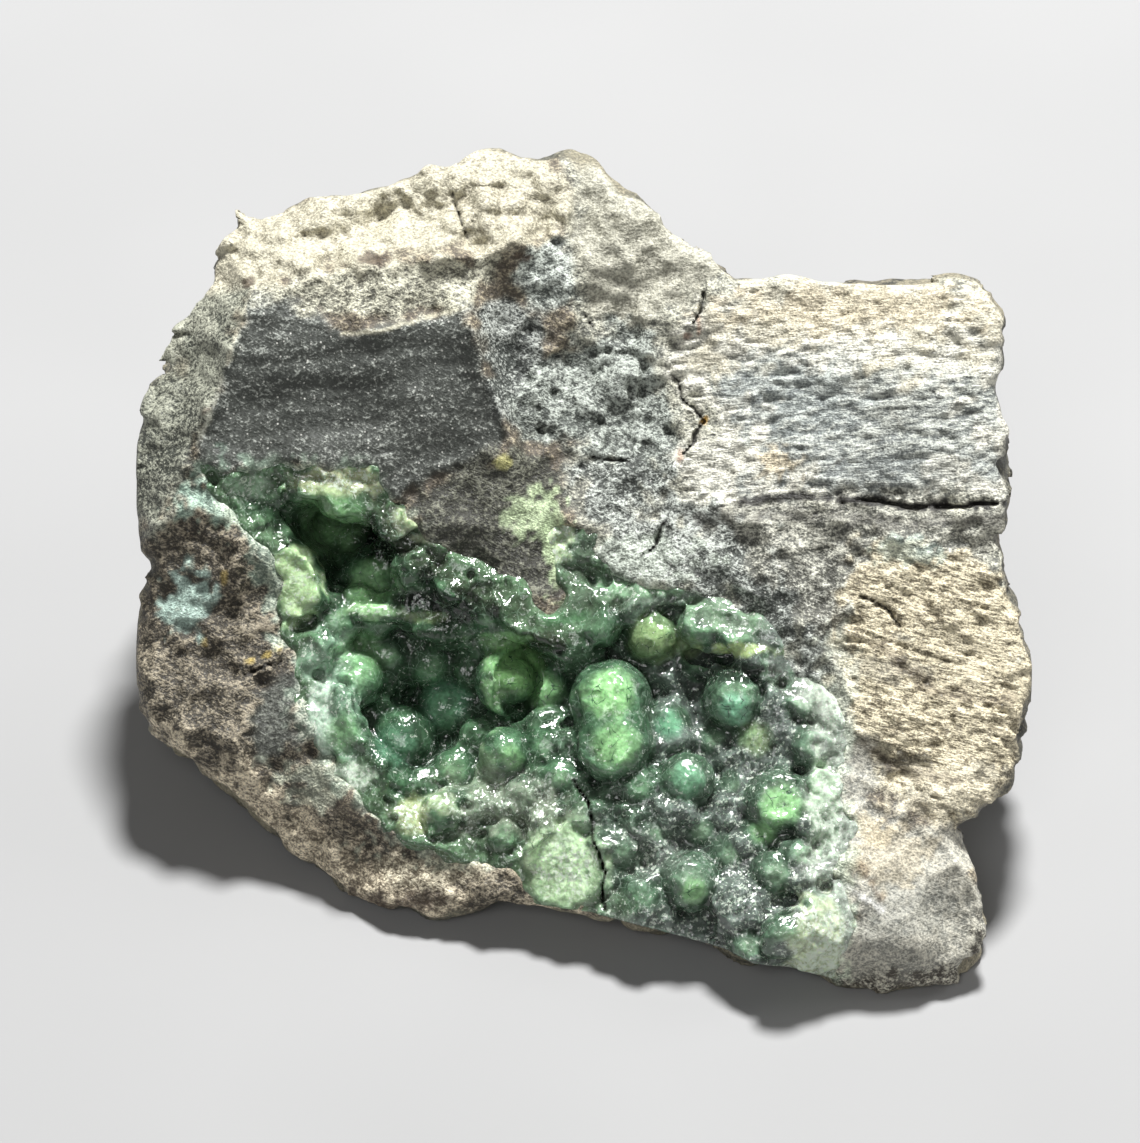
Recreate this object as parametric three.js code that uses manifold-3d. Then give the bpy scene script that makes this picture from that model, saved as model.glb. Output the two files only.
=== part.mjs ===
// Wavellite specimen: a lump of layered grey rock with an open vug, lined by one crust of green
// wavellite balls. Millimetres, +Z up. The lump rests on a flat parting face at z = 0, and its
// display face looks up and towards -Y.
//
// The forms are drawn on the display face: u runs right, v up the face and w out of it. A form is
// a field over (u, v, w) that is negative inside, like a distance, and a surface is where it is 0.

import * as THREE from "three";
import { mergeVertices } from "three/addons/utils/BufferGeometryUtils.js";
import Module from "manifold-3d";

const wasm = await Module();
wasm.setup();
const { clamp, degToRad, lerp, smoothstep } = THREE.MathUtils;

// Driving dimensions.
const FACE_LEAN = degToRad(45); // the display face's normal, above the level
const FACE_HEIGHT = 16; // the middle of the display face, over the resting face
const CRUST_THICKNESS = 1.9; // on the vug's wall, between the balls
const CRUST_GAP = 0.35; // between the crust's back and the rock
const LAYER_PROUD = 0.1; // the crust's broken rim, over the rock
const BALL_PROUD = 1.1; // the balls' tops at most, over the rock
const ROCK_STEP = 2.1; // size of the rock's facets
const CRUST_STEP = 1.4; // size of the crust's facets

// The lump's outline, seen square on to the display face: [u, v].
const FACE_OUTLINE = [
  [-32.2, 9.2], [-31.2, 15], [-29.5, 18.2], [-26.6, 20.6], [-26.8, 22.4], [-24.8, 25.7],
  [-23, 25.2], [-20.2, 26.1], [-14.4, 27.3], [-12.2, 27.9], [-11, 29.1], [-9.2, 29.2],
  [-7.6, 30.1], [-5.8, 30], [-4.4, 29.2], [-0.7, 29.5], [1.4, 28.6], [2.9, 26.9],
  [5.8, 25.5], [7, 24], [9.7, 22.9], [11.2, 20.9], [15.1, 21.1], [19.4, 20.6],
  [27.6, 20.7], [29.4, 19.7], [30.2, 17.8], [30.1, 15.6], [29.4, 12.6], [30.5, 9.6],
  [30, 7.6], [30.4, 4.5], [30.2, 0.6], [31, -2.7], [32.4, -7], [31.8, -10.4],
  [30.8, -13.2], [30.5, -15.2], [29.2, -17], [27, -18.5], [27.7, -20], [28.4, -22.5],
  [29.1, -25.5], [29, -27.6], [26.8, -29.4], [21.6, -30], [18, -29.6], [15.1, -28.8],
  [12.2, -28.4], [10.1, -27.4], [4.3, -25.8], [0.7, -24.9], [-5.8, -24], [-10.8, -24.9],
  [-15.8, -23.5], [-20.2, -20.8], [-23, -18.2], [-27.4, -14.1], [-30.2, -12.3], [-31.7, -9.9],
  [-31.9, -6.6], [-31.3, -2.3], [-30.4, 0.6], [-32.1, 4.2], [-32.4, 7.1],
];

// The lump's outline seen from above: [x, y].
const PLAN_OUTLINE = [
  [-22, -22.4], [-11, -24.4], [1, -26], [12, -29.5], [21, -31], [28.6, -29.4], [31.4, -20],
  [34, -9], [33.6, 4], [32.4, 17.6], [24.4, 20.6], [14.4, 20.4], [9.4, 24.2], [3.4, 30],
  [-5.4, 29.8], [-9.4, 25.4], [-16.4, 22.8], [-25.6, 19.8], [-30.2, 12.6], [-33.8, 7],
  [-34.6, -4], [-34, -15],
];

// The mouth of the vug, where the rock ends and the crust begins: [u, v].
const VUG_MOUTH = [
  [-27, 7.2], [-24.3, 6.4], [-20.9, 7.2], [-15.6, 6.8], [-13, 4.6], [-11.4, 2.4], [-9.6, 0.6],
  [-6.8, -0.9], [-3.4, -1.8], [-1.8, -2], [-1.3, -0.9], [-1.8, 1.4], [-1.4, 3], [0.2, 3.2],
  [0.9, 1.2], [2.2, -0.7], [4.8, -1.4], [7.6, -1.9], [10.4, -3], [12.6, -3.9], [14.6, -6],
  [16.6, -8.6], [18.2, -11.4], [18.6, -13.8], [18, -16.2], [19.2, -18.6], [18, -21.4],
  [19, -24.6], [18.2, -27.4], [18, -34], [2.4, -34], [1.6, -24.6], [-2.6, -23.6],
  [-5, -21.4], [-8, -20.4], [-10.8, -19.6], [-13, -18.4], [-15.6, -16.6], [-17.6, -14],
  [-19.1, -11.8], [-20, -8.8], [-20.6, -5.9], [-21.2, -3.4], [-20.7, -0.8], [-22.6, 1.2],
  [-24.4, 3.4],
];

// Facets of the display face: the plane's height at (u, v) and its slopes along u and v.
const FACETS = {
  darkFace: { u: -15, v: 13.5, w: 5, alongU: 0.02, alongV: 0.14 },
  darkFaceTop: { u: -13, v: 17.4, w: 5.5, alongU: -0.01, alongV: -0.22 },
  topLedge: { u: -14, v: 21.4, w: 4.6, alongU: 0.13, alongV: -0.95 },
  leftFlank: { u: -24.5, v: 15.7, w: 5.1, alongU: 0.95, alongV: -0.3 },
  blockCorner: { u: -3, v: 21, w: 2.4, alongU: -0.3, alongV: 0.5 },
  rightFacet: { u: -8, v: 18, w: 5.6, alongU: -1.4, alongV: -0.37 },
  shoulder: { u: -0.3, v: 20, w: 0, alongU: -1.7, alongV: -0.8 },
  panel: { u: 19, v: 12, w: 0, alongU: -0.04, alongV: -0.3 },
  panelTop: { u: 20, v: 16.5, w: -1.4, alongU: -0.02, alongV: -0.7 },
  backHill: { u: 3, v: 18.4, w: -1.6, alongU: -0.1, alongV: -1.05 },
  panelLeftEnd: { u: -5, v: -5, w: 4.6, alongU: 0.25, alongV: -0.08 },
  rightRim: { u: 29, v: -8, w: 5, alongU: -0.8, alongV: -0.1 },
  lobe: { u: 23, v: -22, w: 9.6, alongU: -0.15, alongV: -0.33 },
  lobeEdge: { u: 23, v: -27, w: 11, alongU: -0.1, alongV: 1.3 },
  lobeRight: { u: 27.5, v: -24, w: 8.6, alongU: -1, alongV: -0.25 },
  lowerRim: { u: -24, v: -6, w: 3, alongU: 0.09, alongV: -0.08 },
  lowerRimSide: { u: -18, v: -16, w: 4.7, alongU: 0.4, alongV: 0.66 },
};

// Bumps and dips of the display face, and how far they reach.
const FACE_BUMPS = [
  { u: -6, v: 25.5, reach: 3.4, height: 1 },
  { u: 1, v: 11, reach: 6, height: -1.3 },
  { u: 25, v: 11, reach: 5, height: 0.7 },
  { u: 24, v: -11, reach: 5, height: 0.9 },
  { u: 26.6, v: -16.4, reach: 2.2, height: 1.2 },
  { u: 28, v: -19.4, reach: 1.8, height: -1.6 },
  { u: 20.6, v: -20, reach: 3, height: 0.6 },
  { u: -27, v: 1, reach: 5, height: 0.9 },
  { u: -12, v: -21, reach: 4, height: 0.9 },
];

// The ledge across the right of the display face: the slab under this line is lower.
const LEDGE_LINE = [[8.6, 4.5], [13, 5.3], [15.8, 5.8], [20.2, 5.6], [22, 4.4], [30.2, 5.1]];
const LEDGE_DROP = 1.4;

// The crease from which the lobe at the lower right rises: a point on it, and its fall along u.
const LOBE_CREASE = { u: 18.7, v: -12.4, fall: 0.82 };

// The vug's depth under the display face, and the pockets that deepen it.
const VUG_DEPTH = 3;
const VUG_POCKETS = [
  { u: -16.2, v: 1.2, reach: 5, deeper: 8 },
  { u: -8.5, v: -2.2, reach: 3.6, deeper: 5 },
  { u: -11.5, v: -10.5, reach: 4.6, deeper: 6.5 },
  { u: -3, v: -7, reach: 4.5, deeper: 2.4 },
  { u: 5, v: -7, reach: 6, deeper: 2 },
  { u: 11, v: -12, reach: 5, deeper: 1 },
  { u: 9, v: -21, reach: 6, deeper: 0.8 },
];
// The crest that parts the two deepest pockets, as points to run through.
const VUG_CREST = { line: [[-19, -2.3], [-10.4, -2.4], [-8, -4.8]], width: 1.7, height: 3.4 };
const VUG_DRAFT = 0.22; // the vug narrows by this much for each unit of depth
const VUG_CORNER = 3; // roundness between the vug's wall and its floor

// Hollows that run back under the lip of the vug.
const UNDERCUTS = [
  { u: -15, v: 4, w: -3, radii: [7.5, 4.6, 4.4] },
  { u: -6, v: -1.6, w: 0.2, radii: [5, 3.4, 2.8] },
  { u: 8.5, v: -2.6, w: 1.6, radii: [5.4, 2.4, 2] },
];

// The wavellite balls, where they grow on the vug's wall: [u, v, radius].
const BALLS = [
  // The bright pair in the middle, and those round it.
  [2.2, -9.5, 3], [2.4, -12.7, 2.7], [5.2, -4.9, 1.9], [11.2, -9.3, 2.4], [12.6, -12.2, 1.6],
  [6.3, -11.2, 1.4], [7.6, -15.1, 2], [-2.5, -8.6, 1.9], [-4.9, -8.1, 2.7], [-5.4, -13.2, 1.9],
  // The deep pockets on the left.
  [-9.6, -10.1, 2.3], [-12.7, -12.4, 2.7], [-10.8, -6.9, 1.9], [-15.1, -0.9, 2.4], [-18, 3.5, 2],
  [-19.8, 1.7, 1.7], [-9, -1.2, 1.6], [-6.5, -3.2, 1.6], [-13.3, 3.5, 1.7], [-13.7, -6.3, 1.4],
  // The lumps on the left wall.
  [-16.2, -8.1, 2.1], [-16.9, -11.7, 1.7], [-19, -5.8, 1.7], [-17.4, -3.9, 1.6], [-20.2, -1.2, 1.6],
  [-14.5, -3.6, 1.4], [-11.4, -3.2, 1.6],
  // The lower middle, down to the crack.
  [-9, -14.5, 1.6], [-13.5, -15.1, 1.4], [-7.2, -16.7, 1.3], [-4, -16.3, 1.4], [-1.4, -14.9, 1.4],
  [-10.1, -17.6, 1.3], [-5.4, -19.2, 1.2], [0, -18.1, 1.4], [-2.5, -12.7, 1.4], [-1.1, -21.4, 2.6],
  // The right-hand slope, down to the foot of the lump.
  [14.2, -16.7, 2.4], [13, -18.9, 1.6], [7.9, -22.3, 2.2], [13.9, -21.6, 1.6], [15.6, -20.3, 1.3],
  [4.3, -23.5, 1.6], [3, -20.3, 1.4], [5.4, -18.9, 1.3], [8.6, -18.7, 1.3], [10.8, -20.3, 1.4],
  [4.3, -15.6, 1.4], [11.2, -24.3, 1.4], [14.4, -26.1, 1.7], [11.9, -26.8, 1.3], [16.7, -24.3, 1.3],
  // Under the right-hand lip.
  [1.4, -4.1, 1.7], [0.4, -6.3, 1.4], [8.6, -4.1, 1.7], [11.2, -4.6, 1.7], [14, -7, 1.4],
  [15.8, -9.5, 1.4], [16.7, -12.7, 1.6], [16.9, -15.6, 1.3], [8.6, -6.6, 1.4], [9.7, -12.4, 1.3],
  [11.2, -15.6, 1.1],
];
const FILLER = { spacing: 2.9, radius: 1.35, spread: 0.35 }; // small balls between them
const BALL_BLEND = 0.45; // softness of the seam between a ball and the crust

// Weathering of the rock: swells and lumps, and the ledges that its layers break in.
const SWELL = { size: 9, height: 0.9 };
const LUMP = { size: 3.7, height: 0.85 };
const FACE_ROUGHNESS = 0.42; // the display face is this much as rough as the sides
const LAYER = { spacing: 4.8, height: 1.3, dip: [0.15, 0.85, 0.5] };
const EDGE_WANDER = { size: 4.3, by: 0.7 }; // how far the facets' edges stray
const EDGE_ROUNDING = 1.6;
const WALL_TAPER = 0.16; // the sides draw in by this much for each unit below the display face
const FOOT_TAPER = 0.3; // and by this much more for each unit below FOOT_HEIGHT
const FOOT_HEIGHT = 4;

// Smooth forms of min and max, blending over the width k.
function smoothMin(a, b, k) {
  const h = Math.max(k - Math.abs(a - b), 0) / k;
  return Math.min(a, b) - (h * h * k) / 4;
}

function smoothMax(a, b, k) {
  return -smoothMin(-a, -b, k);
}

// Distance from (x, y) to a path.
function pathDistance(path, x, y) {
  let nearest = Infinity;
  path.slice(1).forEach(([bx, by], i) => {
    const [ax, ay] = path[i];
    const [ex, ey] = [bx - ax, by - ay];
    const t = clamp(((x - ax) * ex + (y - ay) * ey) / (ex * ex + ey * ey), 0, 1);
    nearest = Math.min(nearest, Math.hypot(x - ax - ex * t, y - ay - ey * t));
  });
  return nearest;
}

// Distance from (x, y) to a closed outline, negative inside it.
function outlineDistance(outline, x, y) {
  const path = [...outline, outline[0]];
  let inside = false;
  path.slice(1).forEach(([bx, by], i) => {
    const [ax, ay] = path[i];
    if (ay > y !== by > y && x < ax + ((bx - ax) * (y - ay)) / (by - ay)) inside = !inside;
  });
  return inside ? -pathDistance(path, x, y) : pathDistance(path, x, y);
}

// Height of a line drawn as points of rising x.
function lineAt(points, x) {
  const next = points.findIndex(([px]) => px > x);
  if (next < 0) return points[points.length - 1][1];
  if (next === 0) return points[0][1];
  const [[ax, ay], [bx, by]] = [points[next - 1], points[next]];
  return lerp(ay, by, (x - ax) / (bx - ax));
}

// A fixed pseudo-random number from -1 to 1 for each point of a whole-number lattice.
function lattice(i, j, k) {
  const s = Math.sin(i * 127.1 + j * 311.7 + k * 74.7) * 43758.5453;
  return 2 * (s - Math.floor(s)) - 1;
}

// Smooth noise from -1 to 1 with lumps about one unit across.
function noise(x, y, z) {
  const [i, j, k] = [Math.floor(x), Math.floor(y), Math.floor(z)];
  const [fx, fy, fz] = [x - i, y - j, z - k].map((f) => f * f * (3 - 2 * f));
  const row = (dj, dk) => lerp(lattice(i, j + dj, k + dk), lattice(i + 1, j + dj, k + dk), fx);
  const sheet = (dk) => lerp(row(0, dk), row(1, dk), fy);
  return lerp(sheet(0), sheet(1), fz);
}

// Swells and lumps of the weathered surface.
function weathering(x, y, z) {
  const form = ({ size, height }) => height * noise(x / size, y / size, z / size);
  return form(SWELL) + form(LUMP);
}

function facet(name, u, v) {
  const f = FACETS[name];
  return f.w + f.alongU * (u - f.u) + f.alongV * (v - f.v);
}

// From 1 at the middle of a bump or a pocket to 0 away from it.
function falloff(u, v, form) {
  return Math.exp(-((u - form.u) ** 2 + (v - form.v) ** 2) / form.reach ** 2);
}

// Height of the display face before the vug was opened.
function reliefAt(u, v) {
  const wander = (seed) => EDGE_WANDER.by * noise(u / EDGE_WANDER.size, v / EDGE_WANDER.size, seed);
  const [fu, fv] = [u + wander(3.5), v + wander(7.5)];
  const at = (name) => facet(name, fu, fv);
  const block = Math.min(
    at("darkFace"), at("darkFaceTop"), at("topLedge"),
    at("leftFlank"), at("shoulder"), smoothMax(at("rightFacet"), at("blockCorner"), 1.5),
  );
  const slab = Math.min(at("panel"), at("panelTop"), at("backHill"), at("panelLeftEnd"));
  const drop = LEDGE_DROP * smoothstep(lineAt(LEDGE_LINE, u) - v, -0.4, 0.6);
  const rightSide = smoothMin(slab - drop * smoothstep(u, 4, 14), at("rightRim"), 2);
  const lobe = smoothMin(smoothMin(at("lobe"), at("lobeEdge"), 2.5), at("lobeRight"), 2.5);
  const belowCrease = -(v - LOBE_CREASE.v) - LOBE_CREASE.fall * (u - LOBE_CREASE.u);
  const onLobe = smoothstep(belowCrease, -0.6, 3.2) * smoothstep(u, 9, 15);
  const rim = smoothMin(Math.min(at("lowerRim"), at("leftFlank") + 1.5), at("lowerRimSide"), 2);
  const forms = smoothMax(smoothMax(block, lerp(rightSide, lobe, onLobe), 0.8), rim, 1);
  const bumps = FACE_BUMPS.reduce((sum, bump) => sum + bump.height * falloff(u, v, bump), 0);
  const crumbly = 1 + 1.2 * smoothstep(v, 20, 23) * smoothstep(-u, -4, 2);
  return forms + bumps + FACE_ROUGHNESS * crumbly * weathering(u, v, 0);
}

// The vug's open space, back to bare rock.
function vugAt(u, v, w, relief) {
  const pockets = VUG_POCKETS.reduce((sum, p) => sum + p.deeper * falloff(u, v, p), 0);
  const toCrest = pathDistance(VUG_CREST.line, u, v) / VUG_CREST.width;
  const depth = VUG_DEPTH + pockets - VUG_CREST.height * Math.exp(-toCrest * toCrest);
  const wall = outlineDistance(VUG_MOUTH, u, v) + VUG_DRAFT * Math.max(relief - w, 0);
  const hollow = smoothMax(wall, relief - depth - w, VUG_CORNER);
  return UNDERCUTS.reduce((space, { u: cu, v: cv, w: cw, radii }) => {
    const scaled = Math.hypot((u - cu) / radii[0], (v - cv) / radii[1], (w - cw) / radii[2]);
    return smoothMin(space, (scaled - 1) * Math.min(...radii), 1.5);
  }, hollow);
}

// From the display face's (u, v, w) to the part's (x, y, z).
const faceToPart = new THREE.Matrix4()
  .makeBasis(
    new THREE.Vector3(1, 0, 0),
    new THREE.Vector3(0, Math.sin(FACE_LEAN), Math.cos(FACE_LEAN)),
    new THREE.Vector3(0, -Math.cos(FACE_LEAN), Math.sin(FACE_LEAN)),
  )
  .setPosition(0, 0, FACE_HEIGHT);

// The rock, before its resting face is cut.
function rockAt(u, v, w) {
  const relief = reliefAt(u, v);
  const vug = vugAt(u, v, w, relief);
  const { x, y, z } = new THREE.Vector3(u, v, w).applyMatrix4(faceToPart);

  const along = u * LAYER.dip[0] + v * LAYER.dip[1] + w * LAYER.dip[2];
  const layer = along / LAYER.spacing + 0.5 * noise(u / 8, v / 8, w / 8);
  const ledge = LAYER.height * smoothstep(layer - Math.floor(layer), 0.1, 0.9);
  const sides = outlineDistance(FACE_OUTLINE, u, v) + WALL_TAPER * Math.max(relief - 2 - w, 0);
  const foot = FOOT_TAPER * Math.max(FOOT_HEIGHT - z, 0);
  const plan = outlineDistance(PLAN_OUTLINE, x, y) + foot + ledge;

  const rough = smoothstep(relief - w, 1, 6) * weathering(x, y, z);
  const walls = smoothMax(sides, plan, EDGE_ROUNDING) + rough;
  const whole = smoothMax(walls, w - relief, EDGE_ROUNDING);
  return smoothMax(whole, -vug, 0.5);
}

// The small balls that fill the wall between the others.
function fillerBalls() {
  const balls = [];
  for (let row = -12; row <= 4; row++)
    for (let column = -9; column <= 8; column++) {
      const u = FILLER.spacing * (column + (row & 1) / 2 + 0.3 * lattice(column, row, 1));
      const v = FILLER.spacing * 0.87 * (row + 0.3 * lattice(column, row, 2));
      const radius = FILLER.radius + FILLER.spread * lattice(column, row, 3);
      if (outlineDistance(VUG_MOUTH, u, v) < -1.2) balls.push([u, v, radius]);
    }
  return balls;
}

// A ball sits on the crust where a line straight into the display face meets it.
function seatBall([u, v, radius]) {
  const relief = reliefAt(u, v);
  let w = relief + 1;
  while (vugAt(u, v, w, relief) < -CRUST_THICKNESS && w > relief - 20) w -= 0.1;
  return { u, v, w, radius };
}
const seatedBalls = [...BALLS, ...fillerBalls()].map(seatBall);

// The crust: a layer on the vug's wall, and the balls that grow out of it.
function crustAt(u, v, w) {
  const relief = reliefAt(u, v);
  const vug = vugAt(u, v, w, relief);
  const layer = Math.max(-(vug + CRUST_THICKNESS), w - relief - LAYER_PROUD);
  const growth = seatedBalls.reduce((form, ball) => {
    const toBall = Math.hypot(u - ball.u, v - ball.v, w - ball.w) - ball.radius;
    return smoothMin(form, toBall, BALL_BLEND);
  }, layer);
  const outline = outlineDistance(FACE_OUTLINE, u, v);
  return Math.max(growth, vug - 1, outline + 0.4, w - relief - BALL_PROUD);
}

// The corners of a grid cell, and the edges between them.
const CORNERS = [0, 1, 2, 3, 4, 5, 6, 7].map((c) => [c & 1, (c >> 1) & 1, c >> 2]);
const EDGES = [];
for (let a = 0; a < 8; a++) for (const bit of [1, 2, 4]) if (!(a & bit)) EDGES.push([a, a | bit]);

// Whether the corners on one side of the surface hang together along the cell's edges.
function connected(corners) {
  if (corners.length < 2) return true;
  const reached = new Set([corners[0]]);
  for (const a of reached) for (const bit of [1, 2, 4]) if (corners.includes(a ^ bit)) reached.add(a ^ bit);
  return reached.size === corners.length;
}

// Fills the hollows that don't open to the air, and drops the crumbs that hang on nothing.
function keepOneBody(values, [nx, ny, nz], step) {
  const regionOf = new Int32Array(values.length);
  const regions = [];
  const strides = [1, nx, nx * ny];
  const limits = [nx, ny, nz];
  for (let start = 0; start < values.length; start++) {
    if (regionOf[start]) continue;
    const [solid, members] = [values[start] < 0, [start]];
    regionOf[start] = regions.length + 1;
    for (const at of members) {
      strides.forEach((stride, axis) => {
        const place = Math.floor(at / stride) % limits[axis];
        for (const side of [-1, 1]) {
          const next = at + side * stride;
          if (place + side < 0 || place + side >= limits[axis] || regionOf[next]) continue;
          if (values[next] < 0 !== solid) continue;
          regionOf[next] = regions.length + 1;
          members.push(next);
        }
      });
    }
    regions.push({ solid, members });
  }
  for (const solid of [true, false]) {
    const alike = regions.filter((region) => region.solid === solid);
    const largest = Math.max(...alike.map((region) => region.members.length));
    for (const { members } of alike.filter((region) => region.members.length < largest))
      for (const at of members) values[at] = solid ? step : -step;
  }
}

// The closed surface where a field is 0, as one vertex for each grid cell that it crosses.
function surfaceOf(field, low, high, step) {
  const [nx, ny, nz] = low.map((l, axis) => Math.ceil((high[axis] - l) / step) + 1);
  const at = (i, j, k) => i + nx * (j + ny * k);
  const place = (n, axis) => low[axis] + n * step;
  const values = new Float64Array(nx * ny * nz);
  for (let k = 0; k < nz; k++)
    for (let j = 0; j < ny; j++)
      for (let i = 0; i < nx; i++)
        values[at(i, j, k)] = field(place(i, 0), place(j, 1), place(k, 2));

  const cells = [];
  for (let k = 0; k < nz - 1; k++)
    for (let j = 0; j < ny - 1; j++) for (let i = 0; i < nx - 1; i++) cells.push([i, j, k]);
  const cornersOf = ([i, j, k]) => CORNERS.map(([a, b, c]) => at(i + a, j + b, k + c));

  // A cell that the surface crosses twice is filled at its nearest corner until it is crossed once.
  let filled = true;
  while (filled) {
    filled = false;
    for (const cell of cells) {
      const corners = cornersOf(cell);
      const outside = [0, 1, 2, 3, 4, 5, 6, 7].filter((c) => values[corners[c]] >= 0);
      const inside = [0, 1, 2, 3, 4, 5, 6, 7].filter((c) => values[corners[c]] < 0);
      if (!outside.length || (connected(inside) && connected(outside))) continue;
      outside.sort((a, b) => values[corners[a]] - values[corners[b]]);
      values[corners[outside[0]]] = -0.05 * step;
      filled = true;
    }
  }
  keepOneBody(values, [nx, ny, nz], step);

  const positions = [];
  const vertexOf = new Map();
  for (const cell of cells) {
    const corners = cornersOf(cell);
    const crossing = new THREE.Vector3();
    let crossings = 0;
    for (const [a, b] of EDGES) {
      const [fa, fb] = [values[corners[a]], values[corners[b]]];
      if (fa < 0 === fb < 0) continue;
      const t = clamp(fa / (fa - fb), 0.1, 0.9);
      crossing.x += lerp(CORNERS[a][0], CORNERS[b][0], t);
      crossing.y += lerp(CORNERS[a][1], CORNERS[b][1], t);
      crossing.z += lerp(CORNERS[a][2], CORNERS[b][2], t);
      crossings++;
    }
    if (!crossings) continue;
    crossing.divideScalar(crossings);
    vertexOf.set(at(...cell), positions.length / 3);
    positions.push(
      place(cell[0] + crossing.x, 0), place(cell[1] + crossing.y, 1), place(cell[2] + crossing.z, 2),
    );
  }

  const index = [];
  const addQuad = (a, b, c, d) => index.push(a, b, c, a, c, d);
  for (const [i, j, k] of cells) {
    const here = values[at(i, j, k)] < 0;
    const around = [
      [[1, 0, 0], [0, -1, 0], [0, 0, -1]],
      [[0, 1, 0], [0, 0, -1], [-1, 0, 0]],
      [[0, 0, 1], [-1, 0, 0], [0, -1, 0]],
    ];
    for (const [[di, dj, dk], [ai, aj, ak], [bi, bj, bk]] of around) {
      if (values[at(i + di, j + dj, k + dk)] < 0 === here) continue;
      const quad = [
        at(i, j, k), at(i + ai, j + aj, k + ak),
        at(i + ai + bi, j + aj + bj, k + ak + bk), at(i + bi, j + bj, k + bk),
      ].map((cell) => vertexOf.get(cell));
      addQuad(...(here ? quad : quad.reverse()));
    }
  }
  const geometry = new THREE.BufferGeometry();
  geometry.setAttribute("position", new THREE.Float32BufferAttribute(positions, 3));
  geometry.setIndex(index);
  return geometry.applyMatrix4(faceToPart);
}

// A three.js geometry as a solid to cut, and a solid as a geometry.
function solidOf(geometry) {
  const bare = new THREE.BufferGeometry();
  bare.setAttribute("position", geometry.getAttribute("position").clone());
  bare.setIndex(geometry.getIndex());
  const merged = mergeVertices(bare, 1e-4);
  return new wasm.Manifold(
    new wasm.Mesh({
      numProp: 3,
      vertProperties: merged.getAttribute("position").array,
      triVerts: new Uint32Array(merged.getIndex().array),
    }),
  );
}

function geometryOf(solid) {
  const { vertProperties, triVerts } = solid.getMesh();
  const geometry = new THREE.BufferGeometry();
  geometry.setAttribute("position", new THREE.BufferAttribute(vertProperties, 3));
  geometry.setIndex(new THREE.BufferAttribute(triVerts, 1));
  return geometry;
}

// The rock as a solid, or grown by a margin, before its resting face is cut.
function rockSolid(margin) {
  const grown = (u, v, w) => rockAt(u, v, w) - margin;
  return solidOf(surfaceOf(grown, [-37, -35, -43], [37, 35, 18], ROCK_STEP));
}

// The rock, cut flat at its resting face.
function makeMatrix() {
  const [reach, deep] = [90, 30];
  const below = new THREE.BoxGeometry(reach, reach, deep).translate(0, 0, -deep / 2);
  const geometry = geometryOf(rockSolid(0).subtract(solidOf(below)));
  const material = new THREE.MeshStandardMaterial({ color: 0x6f6b62, roughness: 0.85 });
  const mesh = new THREE.Mesh(geometry, material);
  mesh.name = "matrix";
  return mesh;
}

// The crust of wavellite that lines the vug, fitted to the rock behind it.
function makeCrust() {
  const growth = solidOf(surfaceOf(crustAt, [-29, -32, -12], [22, 11, 17], CRUST_STEP));
  const pieces = growth.subtract(rockSolid(CRUST_GAP)).decompose();
  pieces.sort((a, b) => b.volume() - a.volume());
  const material = new THREE.MeshStandardMaterial({ color: 0x5f9a68, roughness: 0.25 });
  const mesh = new THREE.Mesh(geometryOf(pieces[0]), material);
  mesh.name = "wavellite_crust";
  return mesh;
}

const specimen = new THREE.Group();
specimen.add(makeMatrix(), makeCrust());

export default specimen;
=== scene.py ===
import itertools
import math

import bpy
import numpy as np
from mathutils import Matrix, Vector


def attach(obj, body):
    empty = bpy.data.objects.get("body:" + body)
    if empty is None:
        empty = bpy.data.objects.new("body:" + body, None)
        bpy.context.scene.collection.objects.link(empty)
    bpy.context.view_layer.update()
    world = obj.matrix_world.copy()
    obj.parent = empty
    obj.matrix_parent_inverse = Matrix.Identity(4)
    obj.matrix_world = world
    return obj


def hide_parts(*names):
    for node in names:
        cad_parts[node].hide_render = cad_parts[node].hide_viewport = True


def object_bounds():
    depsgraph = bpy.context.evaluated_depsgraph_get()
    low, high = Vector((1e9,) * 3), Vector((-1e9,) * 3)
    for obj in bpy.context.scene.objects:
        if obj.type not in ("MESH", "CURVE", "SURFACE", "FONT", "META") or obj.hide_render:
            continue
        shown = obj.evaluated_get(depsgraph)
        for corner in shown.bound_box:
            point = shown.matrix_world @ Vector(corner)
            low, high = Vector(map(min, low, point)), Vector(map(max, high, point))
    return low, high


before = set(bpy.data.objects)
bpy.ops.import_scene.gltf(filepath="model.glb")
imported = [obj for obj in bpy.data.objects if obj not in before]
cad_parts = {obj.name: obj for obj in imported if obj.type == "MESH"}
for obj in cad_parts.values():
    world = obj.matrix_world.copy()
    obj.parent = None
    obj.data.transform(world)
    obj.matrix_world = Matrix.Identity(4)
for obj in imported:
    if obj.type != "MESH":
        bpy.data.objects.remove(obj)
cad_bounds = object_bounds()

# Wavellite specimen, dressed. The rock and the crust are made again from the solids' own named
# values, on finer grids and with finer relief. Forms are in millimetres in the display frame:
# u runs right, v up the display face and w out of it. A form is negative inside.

MM = 0.001
ROCK_STEP = 0.24
CRUST_STEP = 0.2
MOST_TRIANGLES = 190000
SLAB_LAYERS = 12  # of a grid, worked out at a time
# The grids' corners, in the display frame.
ROCK_GRID = ((-37, -35, -43), (37, 35, 18))
CRUST_GRID = ((-29, -32, -12), (22, 11, 17))
SLANT = math.sqrt(0.5)  # the display face leans back by 45 degrees

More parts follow.
